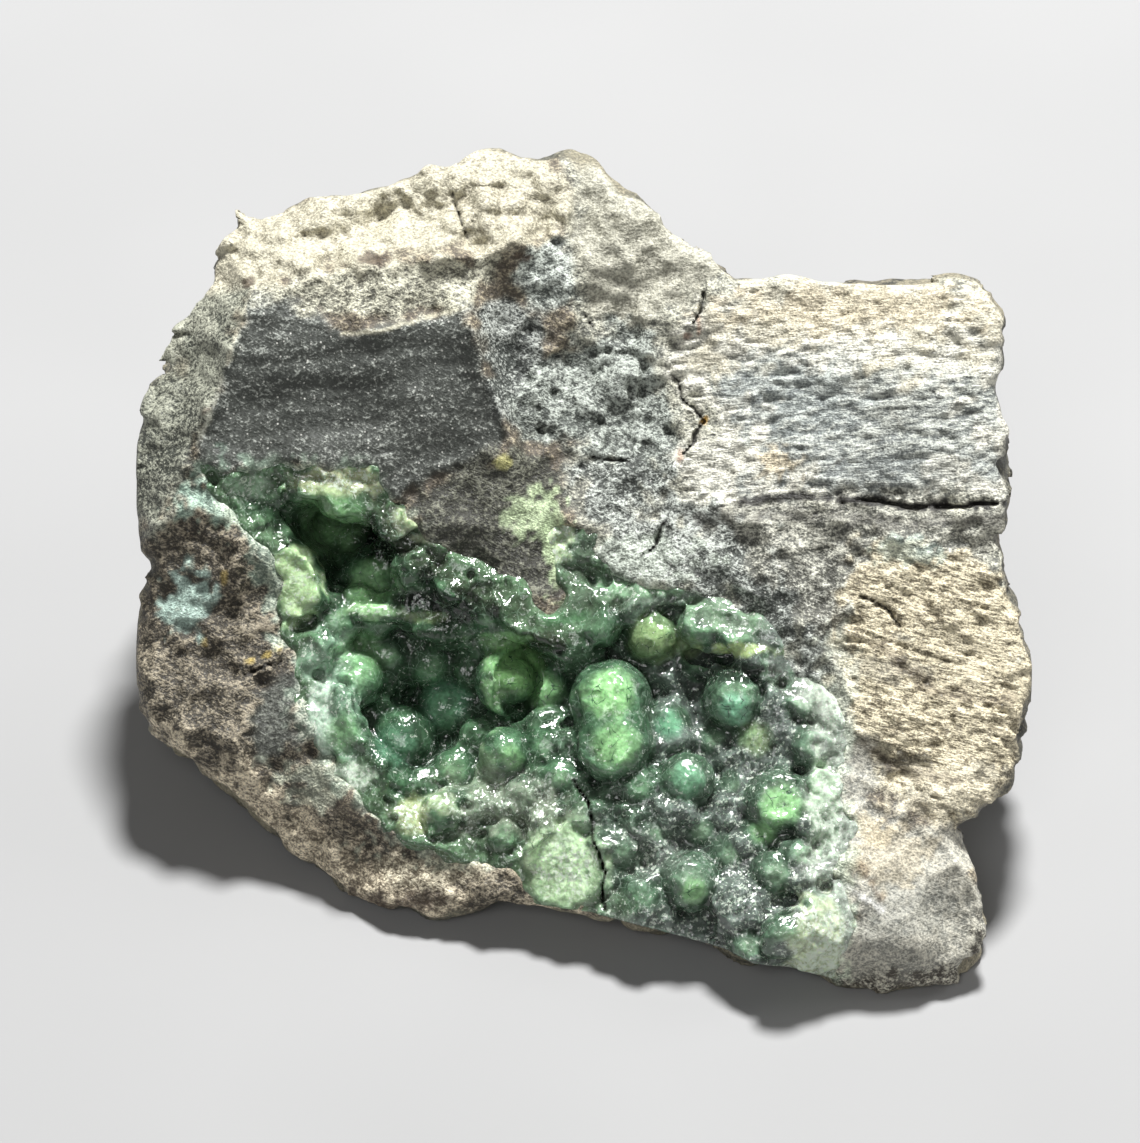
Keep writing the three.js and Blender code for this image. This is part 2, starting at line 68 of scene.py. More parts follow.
# Driving dimensions, the same as the solids'.
FACE_HEIGHT = 16.0
CRUST_THICKNESS = 1.9
LAYER_PROUD = 0.1
BALL_PROUD = 1.1
FACE_OUTLINE = [
    (-32.2, 9.2), (-31.2, 15), (-29.5, 18.2), (-26.6, 20.6), (-26.8, 22.4), (-24.8, 25.7),
    (-23, 25.2), (-20.2, 26.1), (-14.4, 27.3), (-12.2, 27.9), (-11, 29.1), (-9.2, 29.2),
    (-7.6, 30.1), (-5.8, 30), (-4.4, 29.2), (-0.7, 29.5), (1.4, 28.6), (2.9, 26.9),
    (5.8, 25.5), (7, 24), (9.7, 22.9), (11.2, 20.9), (15.1, 21.1), (19.4, 20.6),
    (27.6, 20.7), (29.4, 19.7), (30.2, 17.8), (30.1, 15.6), (29.4, 12.6), (30.5, 9.6),
    (30, 7.6), (30.4, 4.5), (30.2, 0.6), (31, -2.7), (32.4, -7), (31.8, -10.4),
    (30.8, -13.2), (30.5, -15.2), (29.2, -17), (27, -18.5), (27.7, -20), (28.4, -22.5),
    (29.1, -25.5), (29, -27.6), (26.8, -29.4), (21.6, -30), (18, -29.6), (15.1, -28.8),
    (12.2, -28.4), (10.1, -27.4), (4.3, -25.8), (0.7, -24.9), (-5.8, -24), (-10.8, -24.9),
    (-15.8, -23.5), (-20.2, -20.8), (-23, -18.2), (-27.4, -14.1), (-30.2, -12.3), (-31.7, -9.9),
    (-31.9, -6.6), (-31.3, -2.3), (-30.4, 0.6), (-32.1, 4.2), (-32.4, 7.1),
]
PLAN_OUTLINE = [
    (-22, -22.4), (-11, -24.4), (1, -26), (12, -29.5), (21, -31), (28.6, -29.4), (31.4, -20),
    (34, -9), (33.6, 4), (32.4, 17.6), (24.4, 20.6), (14.4, 20.4), (9.4, 24.2), (3.4, 30),
    (-5.4, 29.8), (-9.4, 25.4), (-16.4, 22.8), (-25.6, 19.8), (-30.2, 12.6), (-33.8, 7),
    (-34.6, -4), (-34, -15),
]
VUG_MOUTH = [
    (-27, 7.2), (-24.3, 6.4), (-20.9, 7.2), (-15.6, 6.8), (-13, 4.6), (-11.4, 2.4), (-9.6, 0.6),
    (-6.8, -0.9), (-3.4, -1.8), (-1.8, -2), (-1.3, -0.9), (-1.8, 1.4), (-1.4, 3), (0.2, 3.2),
    (0.9, 1.2), (2.2, -0.7), (4.8, -1.4), (7.6, -1.9), (10.4, -3), (12.6, -3.9), (14.6, -6),
    (16.6, -8.6), (18.2, -11.4), (18.6, -13.8), (18, -16.2), (19.2, -18.6), (18, -21.4),
    (19, -24.6), (18.2, -27.4), (18, -34), (2.4, -34), (1.6, -24.6), (-2.6, -23.6),
    (-5, -21.4), (-8, -20.4), (-10.8, -19.6), (-13, -18.4), (-15.6, -16.6), (-17.6, -14),
    (-19.1, -11.8), (-20, -8.8), (-20.6, -5.9), (-21.2, -3.4), (-20.7, -0.8), (-22.6, 1.2),
    (-24.4, 3.4),
]

# Facets of the display face: u, v and w of a point, and the slopes along u and v.
FACETS = {
    "dark_face": (-15, 13.5, 5, 0.02, 0.14),
    "dark_face_top": (-13, 17.4, 5.5, -0.01, -0.22),
    "top_ledge": (-14, 21.4, 4.6, 0.13, -0.95),
    "left_flank": (-24.5, 15.7, 5.1, 0.95, -0.3),
    "block_corner": (-3, 21, 2.4, -0.3, 0.5),
    "right_facet": (-8, 18, 5.6, -1.4, -0.37),
    "shoulder": (-0.3, 20, 0, -1.7, -0.8),
    "panel": (19, 12, 0, -0.04, -0.3),
    "panel_top": (20, 16.5, -1.4, -0.02, -0.7),
    "back_hill": (3, 18.4, -1.6, -0.1, -1.05),
    "panel_left_end": (-5, -5, 4.6, 0.25, -0.08),
    "right_rim": (29, -8, 5, -0.8, -0.1),
    "lobe": (23, -22, 9.6, -0.15, -0.33),
    "lobe_edge": (23, -27, 11, -0.1, 1.3),
    "lobe_right": (27.5, -24, 8.6, -1, -0.25),
    "lower_rim": (-24, -6, 3, 0.09, -0.08),
    "lower_rim_side": (-18, -16, 4.7, 0.4, 0.66),
}
# Bumps and dips of the display face: u, v, reach and height.
FACE_BUMPS = [
    (-6, 25.5, 3.4, 1), (1, 11, 6, -1.3), (25, 11, 5, 0.7), (24, -11, 5, 0.9),
    (26.6, -16.4, 2.2, 1.2), (28, -19.4, 1.8, -1.6), (20.6, -20, 3, 0.6), (-27, 1, 5, 0.9),
    (-12, -21, 4, 0.9),
]
LEDGE_LINE = [(8.6, 4.5), (13, 5.3), (15.8, 5.8), (20.2, 5.6), (22, 4.4), (30.2, 5.1)]
LEDGE_DROP = 1.4
LOBE_CREASE = (18.7, -12.4, 0.82)

# The vug: its depth, its pockets (u, v, reach, deeper) and the crest that parts them.
VUG_DEPTH = 3.0
VUG_POCKETS = [
    (-16.2, 1.2, 5, 8), (-8.5, -2.2, 3.6, 5), (-11.5, -10.5, 4.6, 6.5), (-3, -7, 4.5, 2.4),
    (5, -7, 6, 2), (11, -12, 5, 1), (9, -21, 6, 0.8),
]
VUG_CREST = [(-19, -2.3), (-10.4, -2.4), (-8, -4.8)]
CREST_WIDTH = 1.7
CREST_HEIGHT = 3.4
VUG_DRAFT = 0.22
VUG_CORNER = 3.0
# Hollows under the lip of the vug: a centre, and radii.
UNDERCUTS = [
    ((-15, 4, -3), (7.5, 4.6, 4.4)),
    ((-6, -1.6, 0.2), (5, 3.4, 2.8)),
    ((8.5, -2.6, 1.6), (5.4, 2.4, 2)),
]
UNDERCUT_BLEND = 1.5
MOUTH_ROUNDING = 0.5

# The wavellite balls, where they grow on the vug's wall: u, v and radius.
BALLS = [
    # The bright pair in the middle, and those round it.
    (2.2, -9.5, 3), (2.4, -12.7, 2.7), (5.2, -4.9, 1.9), (11.2, -9.3, 2.4), (12.6, -12.2, 1.6),
    (6.3, -11.2, 1.4), (7.6, -15.1, 2), (-2.5, -8.6, 1.9), (-4.9, -8.1, 2.7), (-5.4, -13.2, 1.9),
    # The deep pockets on the left.
    (-9.6, -10.1, 2.3), (-12.7, -12.4, 2.7), (-10.8, -6.9, 1.9), (-15.1, -0.9, 2.4),
    (-18, 3.5, 2), (-19.8, 1.7, 1.7), (-9, -1.2, 1.6), (-6.5, -3.2, 1.6), (-13.3, 3.5, 1.7),
    (-13.7, -6.3, 1.4),
    # The lumps on the left wall.
    (-16.2, -8.1, 2.1), (-16.9, -11.7, 1.7), (-19, -5.8, 1.7), (-17.4, -3.9, 1.6),
    (-20.2, -1.2, 1.6), (-14.5, -3.6, 1.4), (-11.4, -3.2, 1.6),
    # The lower middle, down to the crack.
    (-9, -14.5, 1.6), (-13.5, -15.1, 1.4), (-7.2, -16.7, 1.3), (-4, -16.3, 1.4),
    (-1.4, -14.9, 1.4), (-10.1, -17.6, 1.3), (-5.4, -19.2, 1.2), (0, -18.1, 1.4),
    (-2.5, -12.7, 1.4), (-1.1, -21.4, 2.6),
    # The right-hand slope, down to the foot of the lump.
    (14.2, -16.7, 2.4), (13, -18.9, 1.6), (7.9, -22.3, 2.2), (13.9, -21.6, 1.6),
    (15.6, -20.3, 1.3), (4.3, -23.5, 1.6), (3, -20.3, 1.4), (5.4, -18.9, 1.3), (8.6, -18.7, 1.3),
    (10.8, -20.3, 1.4), (4.3, -15.6, 1.4), (11.2, -24.3, 1.4), (14.4, -26.1, 1.7),
    (11.9, -26.8, 1.3), (16.7, -24.3, 1.3),
    # Under the right-hand lip.
    (1.4, -4.1, 1.7), (0.4, -6.3, 1.4), (8.6, -4.1, 1.7), (11.2, -4.6, 1.7), (14, -7, 1.4),
    (15.8, -9.5, 1.4), (16.7, -12.7, 1.6), (16.9, -15.6, 1.3), (8.6, -6.6, 1.4),
    (9.7, -12.4, 1.3), (11.2, -15.6, 1.1),
]
FILLER_SPACING, FILLER_RADIUS, FILLER_SPREAD = 2.9, 1.35, 0.35
BALL_BLEND = 0.25
LARGE_BALL, SMALL_BALL_BLEND = 1.65, 0.7
LARGE_BALL_LIFT = 0.36  # as a share of the radius
LEFT_WALL = -14  # the lumps left of this blend into the wall
LEFT_POCKETS = -8  # the balls left of this stay low
FILLER_BLEND = 1.3
FILLER_INSET = -1.2  # from the vug's mouth
# How a ball is let down on the crust: in how many steps of what height, and how deep at most.
SEAT_STEPS, SEAT_STEP, SEAT_DEPTH = 220, 0.1, 20

# Weathering of the rock: the size and height of its swells and lumps, and its broken layers.
SWELL = (9, 0.9)
LUMP = (3.7, 0.85)
FACE_ROUGHNESS = 0.42
LAYER_SPACING = 4.8
LAYER_HEIGHT = 1.3
LAYER_DIP = (0.15, 0.85, 0.5)
EDGE_WANDER_SIZE, EDGE_WANDER = 4.3, 0.7
EDGE_ROUNDING = 1.6
WALL_TAPER = 0.16
FOOT_TAPER = 0.3
FOOT_HEIGHT = 4.0

# Finer relief than the solids have. Small crystals cover the crust between its balls.
DRUSE = [(1.5, 0.75), (0.7, 0.35)]  # size and height
RIM_DRUSE = [(1.2, 0.9), (0.6, 0.45)]
# Where the rim is smooth glass all the same: u, v and radius.
GLASSY = [
    (-1.8, -3.4, 3.3), (-18, 2.6, 3.2), (-20.6, -0.9, 2.6), (10.4, -4.6, 2.7), (13.2, -5.4, 1.4),
    (-5, -8.1, 2.8), (-9.6, -10.1, 2.4),
]
CRAGS = [(4.4, 1.9), (1.7, 0.7)]  # on the rock's sides: size and height
THIN_LAYER = (1.7, 0.6)  # thickness and depth of the layers' worn edges on the sides
ROUGH_BAND = 3.5  # how far from the rock's walls they are roughened
CHIPPED_BAND, SUGARY_BAND = 1.2, 0.8  # the same for the crust's surface
MOUTH_STRAY = [(2.6, 0.5), (1.2, 0.35), (0.6, 0.15)]  # on the line of the vug's mouth
SHELL_THICKNESS = 0.35
# Balls whose outer shell is broken open round a core: u and v, the core's share of the radius,
# the way that they open, and how far along it.
BROKEN_SHELLS = [
    ((-4.9, -8.1), 0.66, (0.75, -0.1, 0.65), 0.15),
]
CUT_BALL = (-1.1, -21.4, 2.6)  # broken off flush with the rock
BETWEEN_THE_PAIR = (2.3, -11.1, 2.7)
CLEARED = (-18.9, 2.4, 2.5)  # where no balls grow on the crust: u, v and reach
ROCK_TIP = (-2.2, -2.1, 1.7)  # of bare rock over the vug: u, v and radius
# Lips of the crust that stick out of the vug's wall: u, v and depth under the face, and radii.
LIPS = [
    ((-2, -2.9, 1.3), (2.8, 1.6, 1.6)),
    ((10.4, -4.1, 0.6), (3.1, 2.2, 0.7)),
    ((13.4, -5.2, 0.4), (1.4, 0.9, 0.5)),
    ((4.2, -1.7, 0.5), (2.8, 1.2, 0.7)),
    ((-0.4, 1, 0.6), (0.9, 2.4, 0.9)),
    ((-20.9, -0.9, 0.1), (1.8, 2.7, 0.8)),
    ((-18.2, 5.6, 0.4), (3.4, 0.9, 0.7)),
    ((-14.4, -3.2, 1), (2.4, 0.7, 0.5)),
    ((-9.8, -4.4, 1.8), (2.2, 1, 0.7)),
    ((-1.1, -21.4, 1.2), (2.75, 2.75, 3)),
]
# Hollows under them, with the depth of their middles.
HOLLOWS = [
    ((10.9, -6.3, 2.1), (3.6, 1, 1.3)),
]
CRUST_CRACK = [(-0.4, -15.1), (0.7, -16.7), (1, -19.2), (1.5, -21), (1.9, -24.3)]
CRUST_CRACK_DEPTH = 3.4
LIP_BLEND, HOLLOW_BLEND = 0.25, 0.3
# How far the crust reaches into the rock's wall at the vug's mouth, and how much more below it.
CRUST_INTO_ROCK, MORE_BELOW = 0.3, 0.8
CRUST_INSET = 0.4  # from the outline of the display face
FACE_PIECE_DEPTH = 1.6  # how far the display face's own piece reaches down the sides
HIDDEN_ROCK = -0.6  # rock this far into the vug, under the crust, belongs to the other piece
FOOT_FLAT = 0.06  # anything lower than this lies on the floor
FOOT_LEVEL = 0.01
BOX_EASE = 0.4  # how near the solids' box points start to be eased back

# The photograph's pixels on the display face: pixels of its middle, and millimetres per pixel.
PHOTO_MIDDLE = (580, 568)
PHOTO_SCALE = 0.072

# Cracks of the rock, in the photograph's pixels.
ROCK_CRACKS = [
    [(705, 290), (700, 312), (690, 330)],
    [(670, 370), (679, 385), (682, 398), (705, 420), (698, 433), (680, 455)],
    [(665, 520), (658, 533), (656, 546), (637, 557)],
    [(860, 595), (880, 608), (900, 630)],
    [(590, 455), (610, 459), (630, 462)],
    [(583, 314), (588, 322), (593, 329)],
    [(246, 675), (268, 664), (283, 661)],
    [(452, 195), (458, 215), (470, 243)],
    [(840, 504), (872, 500), (915, 508), (995, 503)],
]
CRACK_WIDTH = 0.2
CRACK_DEPTH = 0.8
# Sharp edges of the facets: half width and height in millimetres, and a path in pixels.
EDGES_OF_FACETS = [
    (0.7, 0.55, [(462, 305), (486, 369), (500, 405), (511, 440)]),
    (0.5, 0.4, [(255, 290), (242, 330), (232, 372), (212, 420), (200, 450)]),
    (0.6, 0.35, [(250, 288), (300, 283), (345, 272), (400, 262), (470, 262), (520, 250)]),
    (0.35, 0.25, [(345, 336), (380, 333), (420, 322), (468, 308)]),
    (0.7, 0.5, [(740, 585), (790, 618), (830, 660), (850, 700)]),
    (0.7, 0.6, [(838, 812), (870, 800), (905, 812), (950, 850), (975, 900)]),
    (0.6, 0.4, [(300, 668), (312, 720), (330, 770), (380, 815)]),
]


def from_photo(path):
    """Points of the display face from the photograph's pixels."""
    middle_x, middle_y = PHOTO_MIDDLE
    return [((x - middle_x) * PHOTO_SCALE, (middle_y - y) * PHOTO_SCALE) for x, y in path]


def smoothstep(x, low, high):
    t = np.clip((x - low) / (high - low), 0, 1)
    return t * t * (3 - 2 * t)


def mix(a, b, t):
    return a + (b - a) * t


def smooth_min(a, b, k):
    h = np.maximum(k - np.abs(a - b), 0) / k
    return np.minimum(a, b) - h * h * (k / 4)


def smooth_max(a, b, k):
    return -smooth_min(-a, -b, k)


def path_distance(path, x, y):
    """Distance to a path."""
    near = np.full(np.broadcast(x, y).shape, np.inf)
    for (ax, ay), (bx, by) in zip(path, path[1:]):
        ex, ey = bx - ax, by - ay
        t = np.clip(((x - ax) * ex + (y - ay) * ey) / (ex * ex + ey * ey), 0, 1)
        near = np.minimum(near, np.hypot(x - ax - ex * t, y - ay - ey * t))
    return near


def outline_distance(outline, x, y):
    """Distance to a closed outline, negative inside it."""
    x, y = np.broadcast_arrays(x, y)
    path = outline + outline[:1]
    inside = np.zeros(x.shape, bool)
    for (ax, ay), (bx, by) in zip(path, path[1:]):
        if ay != by:
            inside ^= ((ay > y) != (by > y)) & (x < ax + (bx - ax) * (y - ay) / (by - ay))
    near = path_distance(path, x, y)
    return np.where(inside, -near, near)


# Noise over a lattice of fixed pseudo-random numbers, which repeats after 64 cells.
PERIOD = 64


def lattice(i, j, k):
    s = np.sin(i * 127.1 + j * 311.7 + k * 74.7) * 43758.5453
    return 2 * (s - np.floor(s)) - 1


def lattice_table():
    cells = (np.arange(PERIOD) + PERIOD // 2) % PERIOD - PERIOD // 2
    i, j, k = np.meshgrid(cells, cells, cells, indexing="ij")
    return lattice(i, j, k).ravel()


LATTICE = lattice_table()


def noise(x, y, z):
    """Smooth noise from -1 to 1 with lumps about one unit across."""
    x, y, z = np.broadcast_arrays(x, y, z)
    i, j, k = [np.floor(a).astype(np.int32) for a in (x, y, z)]
    fx, fy, fz = [f * f * (3 - 2 * f) for f in (x - i, y - j, z - k)]
    mask = PERIOD - 1
    i0, i1 = (i & mask) * PERIOD, ((i + 1) & mask) * PERIOD
    j0, j1 = j & mask, (j + 1) & mask
    k0, k1 = k & mask, (k + 1) & mask

    def row(at_j, at_k):
        return mix(LATTICE[(i0 + at_j) * PERIOD + at_k], LATTICE[(i1 + at_j) * PERIOD + at_k], fx)

    return mix(mix(row(j0, k0), row(j1, k0), fy), mix(row(j0, k1), row(j1, k1), fy), fz)


def grain(u, v, size, seed, stretch=1.0, turn=0.0):
    """Noise on the display face, drawn out along one direction."""
    c, s = math.cos(turn), math.sin(turn)
    return noise((u * c + v * s) / (size * stretch), (v * c - u * s) / size, seed)


def chips(places, size, seed):
    """The shallow hollows, with sharp ridges between them, that broken rock has; about -0.5 to 0.5."""
    scaled = [place / size for place in places]
    cells = [np.floor(place) for place in scaled]
    height = np.full(np.broadcast(*places).shape, np.inf)
    for step in itertools.product((-1, 0, 1), repeat=len(places)):
        cell = [c + d for c, d in zip(cells, step)] + [seed] * (3 - len(places))

        def pick(n):
            i, j, k = [(c + n * 7).astype(np.int32) & (PERIOD - 1) for c in map(np.asarray, cell)]
            return LATTICE[(i * PERIOD + j) * PERIOD + k]

        offsets = [s - c - 0.5 - 0.42 * pick(n) for n, (s, c) in enumerate(zip(scaled, cell))]
        bowl = 0.5 * sum(offset**2 for offset in offsets)
        tilt = sum(0.5 * pick(n + 3) * offset for n, offset in enumerate(offsets))
        height = np.minimum(height, bowl + tilt + 0.25 * pick(6))
    return height


def broken(places, sizes, seed):
    """Chips of several sizes and heights, one over the other."""
    return sum(height * chips(places, size, seed) for size, height in sizes)


def ridges(n):
    """Sharp ridges where noise passes 0, from -1 to 1."""
    return 1 - 2 * np.abs(n)


def terraces(n, count):
    """Noise cut into flat steps with short risers."""
    level = n * count
    return (np.floor(level) + smoothstep(level - np.floor(level), 0.7, 1)) / count


def weathering(x, y, z):
    return sum(height * noise(x / size, y / size, z / size) for size, height in (SWELL, LUMP))


def falloff(u, v, form):
    return np.exp(-((u - form[0]) ** 2 + (v - form[1]) ** 2) / form[2] ** 2)


# The display face and the vug, as in the solids.
def relief_at(u, v):
    size = EDGE_WANDER_SIZE
    fu = u + EDGE_WANDER * noise(u / size, v / size, 3.5)
    fv = v + EDGE_WANDER * noise(u / size, v / size, 7.5)

    def at(name):
        at_u, at_v, w, along_u, along_v = FACETS[name]
        return w + along_u * (fu - at_u) + along_v * (fv - at_v)

    corner = smooth_max(at("right_facet"), at("block_corner"), 1.5)
    parts = ("dark_face", "dark_face_top", "top_ledge", "left_flank", "shoulder")
    block = np.minimum.reduce([corner] + [at(name) for name in parts])
    parts = ("panel", "panel_top", "back_hill", "panel_left_end")
    slab = np.minimum.reduce([at(name) for name in parts])
    line = np.interp(u, *zip(*LEDGE_LINE))
    drop = LEDGE_DROP * smoothstep(line - v, -0.4, 0.6)
    right_side = smooth_min(slab - drop * smoothstep(u, 4, 14), at("right_rim"), 2)
    lobe = smooth_min(smooth_min(at("lobe"), at("lobe_edge"), 2.5), at("lobe_right"), 2.5)
    below_crease = -(v - LOBE_CREASE[1]) - LOBE_CREASE[2] * (u - LOBE_CREASE[0])
    on_lobe = smoothstep(below_crease, -0.6, 3.2) * smoothstep(u, 9, 15)
    rim = np.minimum(at("lower_rim"), at("left_flank") + 1.5)
    rim = smooth_min(rim, at("lower_rim_side"), 2)
    forms = smooth_max(smooth_max(block, mix(right_side, lobe, on_lobe), 0.8), rim, 1)
    bumps = sum(bump[3] * falloff(u, v, bump) for bump in FACE_BUMPS)
    crumbly = 1 + 1.2 * smoothstep(v, 20, 23) * smoothstep(-u, -4, 2)
    return forms + bumps + FACE_ROUGHNESS * crumbly * weathering(u, v, 0)


def from_cut_ball(u, v):
    """Distance from the middle of the ball that is cut flush."""
    return np.hypot(u - CUT_BALL[0], v - CUT_BALL[1])


def vug_maps(u, v):
    """The vug's mouth and depth."""
    deeper = sum(pocket[3] * falloff(u, v, pocket) for pocket in VUG_POCKETS)
    crest = CREST_HEIGHT * np.exp(-((path_distance(VUG_CREST, u, v) / CREST_WIDTH) ** 2))
    stray = sum(height * grain(u, v, size, 61.5 + size) for size, height in MOUTH_STRAY)
    round_cut = from_cut_ball(u, v) - CUT_BALL[2] - 0.1
    tip_u, tip_v, tip_radius = ROCK_TIP
    tip = tip_radius - np.hypot(u - tip_u, v - tip_v)
    mouth = np.maximum(np.minimum(outline_distance(VUG_MOUTH, u, v) + stray, round_cut), tip)
    return mouth, VUG_DEPTH + deeper - crest


def ellipsoid_distance(coordinates, centre, radii):
    scaled = sum(((a - c) / r) ** 2 for a, c, r in zip(coordinates, centre, radii))
    return (np.sqrt(scaled) - 1) * min(radii)


def vug_at(u, v, w, relief, mouth, depth):
    """The vug's open space, back to bare rock."""
    wall = mouth + VUG_DRAFT * np.maximum(relief - w, 0)
    space = smooth_max(wall, relief - depth - w, VUG_CORNER)
    for centre, radii in UNDERCUTS:
        space = smooth_min(space, ellipsoid_distance((u, v, w), centre, radii), UNDERCUT_BLEND)
    return space


# Colours, as red, green and blue in the photograph.
def colour(red, green, blue):
    """A linear colour from the photograph's red, green and blue, from 0 to 255."""
    shares = np.array([red, green, blue]) / 255
    return np.where(shares <= 0.04045, shares / 12.92, ((shares + 0.055) / 1.055) ** 2.4)


# Areas of the display face: colour, colour of the flecks, share of flecks, how ragged the border
# is in millimetres, the kinds of relief with their heights, and an outline in the photograph's
# pixels. Later ones lie over earlier ones.
AREAS = {
    "right_side": (
        (112, 113, 104), (190, 189, 172), 0.45, 1, {"plain": 0.8, "laminated": 0.4},
        [(560, 150), (740, 250), (1010, 270), (1060, 640), (1000, 850), (700, 700), (560, 560)],
    ),
    "left_side": (
        (64, 59, 49), (150, 141, 122), 0.38, 1, {"plain": 1.1},
        [(110, 330), (250, 290), (330, 480), (330, 800), (620, 900), (600, 960), (300, 920),
         (110, 700)],
    ),
    "lower_rim_tan": (
        (134, 123, 104), (220, 208, 182), 0.52, 2.2, {"plain": 1.1},
        [(150, 720), (260, 790), (340, 850), (420, 880), (560, 900), (560, 930), (420, 930),
         (250, 860), (140, 760)],
    ),
    "left_flank": (
        (73, 76, 68), (158, 160, 144), 0.45, 1.5, {"plain": 1, "pitted": 0.5},
        [(110, 340), (215, 270), (262, 285), (240, 360), (205, 455), (160, 560), (110, 500)],
    ),
    "left_flank_top": (
        (93, 95, 85), (174, 175, 158), 0.55, 2, {"plain": 1},
        [(130, 360), (205, 270), (262, 283), (235, 330), (175, 370)],
    ),
    "dark_face": (
        (75, 78, 73), (170, 174, 166), 0.19, 0.5, {"fine": 1, "scratched": 1},
        [(255, 290), (300, 297), (345, 333), (405, 325), (468, 310), (486, 369), (505, 410),
         (511, 440), (480, 470), (430, 480), (400, 506), (350, 470), (290, 465), (205, 470),
         (198, 450), (212, 420), (240, 350)],
    ),
    "dark_face_band": (
        (112, 111, 98), (198, 196, 176), 0.5, 1.6, {"plain": 0.7},
        [(250, 285), (300, 268), (400, 262), (490, 262), (476, 305), (405, 312), (345, 322),
         (300, 300), (255, 296)],
    ),
    "top_ledge": (
        (166, 160, 140), (194, 189, 168), 0.6, 0.8, {"crumbly": 1.15, "plain": 0.7, "fine": 0.3},
        [(200, 260), (205, 225), (240, 195), (300, 195), (400, 165), (470, 130), (530, 140),
         (580, 190), (562, 245), (500, 250), (420, 262), (330, 275), (255, 290), (213, 290)],
    ),
    "block_corner": (
        (98, 104, 98), (198, 204, 195), 0.45, 0.8, {"plain": 1.1, "pitted": 0.5},
        [(520, 255), (560, 235), (582, 300), (545, 320), (520, 305)],
    ),
    "right_facet": (
        (70, 74, 70), (178, 182, 175), 0.42, 0.8, {"plain": 0.9, "pitted": 0.5},
        [(470, 310), (520, 300), (560, 330), (535, 400), (512, 440), (490, 380)],
    ),
    "back_hill": (
        (152, 150, 134), (183, 181, 165), 0.6, 0.8, {"plain": 0.8, "laminated": 0.4, "fine": 0.4},
        [(572, 150), (640, 170), (745, 265), (702, 300), (640, 328), (590, 318), (577, 250)],
    ),
    "valley": (
        (86, 91, 85), (172, 178, 169), 0.45, 1.6, {"plain": 1.1, "pitted": 0.9},
        [(555, 322), (650, 335), (664, 400), (682, 455), (640, 475), (560, 455), (515, 445),
         (532, 380)],
    ),
    "nose": (
        (60, 60, 52), (118, 119, 105), 0.32, 1, {"plain": 0.8},
        [(400, 506), (430, 480), (511, 440), (560, 455), (570, 520), (562, 600), (500, 600),
         (440, 560)],
    ),
    "panel": (
        (167, 167, 156), (214, 212, 198), 0.58, 1.2, {"laminated": 1, "plain": 0.15},
        [(700, 285), (1010, 285), (1010, 505), (880, 500), (690, 512), (680, 455), (705, 420),
         (662, 368)],
    ),
    "panel_blue": (
        (126, 131, 128), (182, 185, 176), 0.45, 4, {"laminated": 0.9, "plain": 0.15},
        [(735, 375), (860, 370), (960, 400), (985, 470), (880, 495), (760, 490)],
    ),
    "panel_top": (
        (172, 166, 146), (205, 200, 180), 0.6, 2.5, {"laminated": 0.8, "plain": 0.3},
        [(715, 260), (1010, 265), (1010, 345), (870, 350), (760, 335), (700, 350)],
    ),
    "under_ledge": (
        (100, 101, 93), (192, 191, 177), 0.42, 1.5, {"plain": 1, "laminated": 0.5},
        [(690, 512), (880, 498), (1010, 503), (1005, 562), (860, 572), (740, 605), (700, 560)],
    ),
    "grey_mid": (
        (92, 92, 84), (192, 192, 179), 0.4, 1.4, {"plain": 0.9},
        [(735, 575), (800, 562), (866, 566), (872, 600), (855, 640), (830, 652), (790, 622)],
    ),
    "white_druse": (
        (76, 80, 75), (186, 191, 183), 0.43, 2.6, {"plain": 0.8, "druse": 1},
        [(580, 470), (640, 480), (690, 505), (760, 565), (832, 640), (852, 702), (802, 706),
         (755, 640), (690, 602), (600, 580), (568, 520)],
    ),
    "tan_panel": (
        (130, 120, 96), (211, 201, 173), 0.54, 1.6, {"streaked": 1, "plain": 0.25},
        [(855, 560), (1010, 560), (1040, 690), (1010, 810), (950, 828), (880, 790), (842, 720),
         (828, 650)],
    ),
    "lobe": (
        (142, 142, 133), (187, 184, 170), 0.5, 1.4, {"plain": 0.6, "fine": 0.8},
        [(830, 700), (880, 790), (955, 830), (1000, 940), (960, 990), (830, 990), (806, 960),
         (848, 860), (826, 790)],
    ),
    "lobe_edge": (
        (88, 83, 74), (196, 193, 177), 0.4, 1.6, {"plain": 0.9},
        [(800, 955), (850, 966), (950, 962), (985, 930), (1000, 960), (940, 1000), (800, 1000)],
    ),
    "grey_patch": (
        (72, 74, 68), (124, 127, 118), 0.3, 1.2, {"fine": 1},
        [(262, 672), (300, 668), (312, 720), (306, 750), (270, 748), (252, 710)],
    ),
    "tan_streak": (
        (128, 118, 98), (206, 198, 174), 0.5, 1.5, {"plain": 1},
        [(385, 855), (450, 858), (505, 862), (500, 878), (430, 880), (388, 868)],
    ),
}
# The kinds of relief that the material has a share in, as red, green and blue.
SHADER_KINDS = ("laminated", "streaked", "fine")
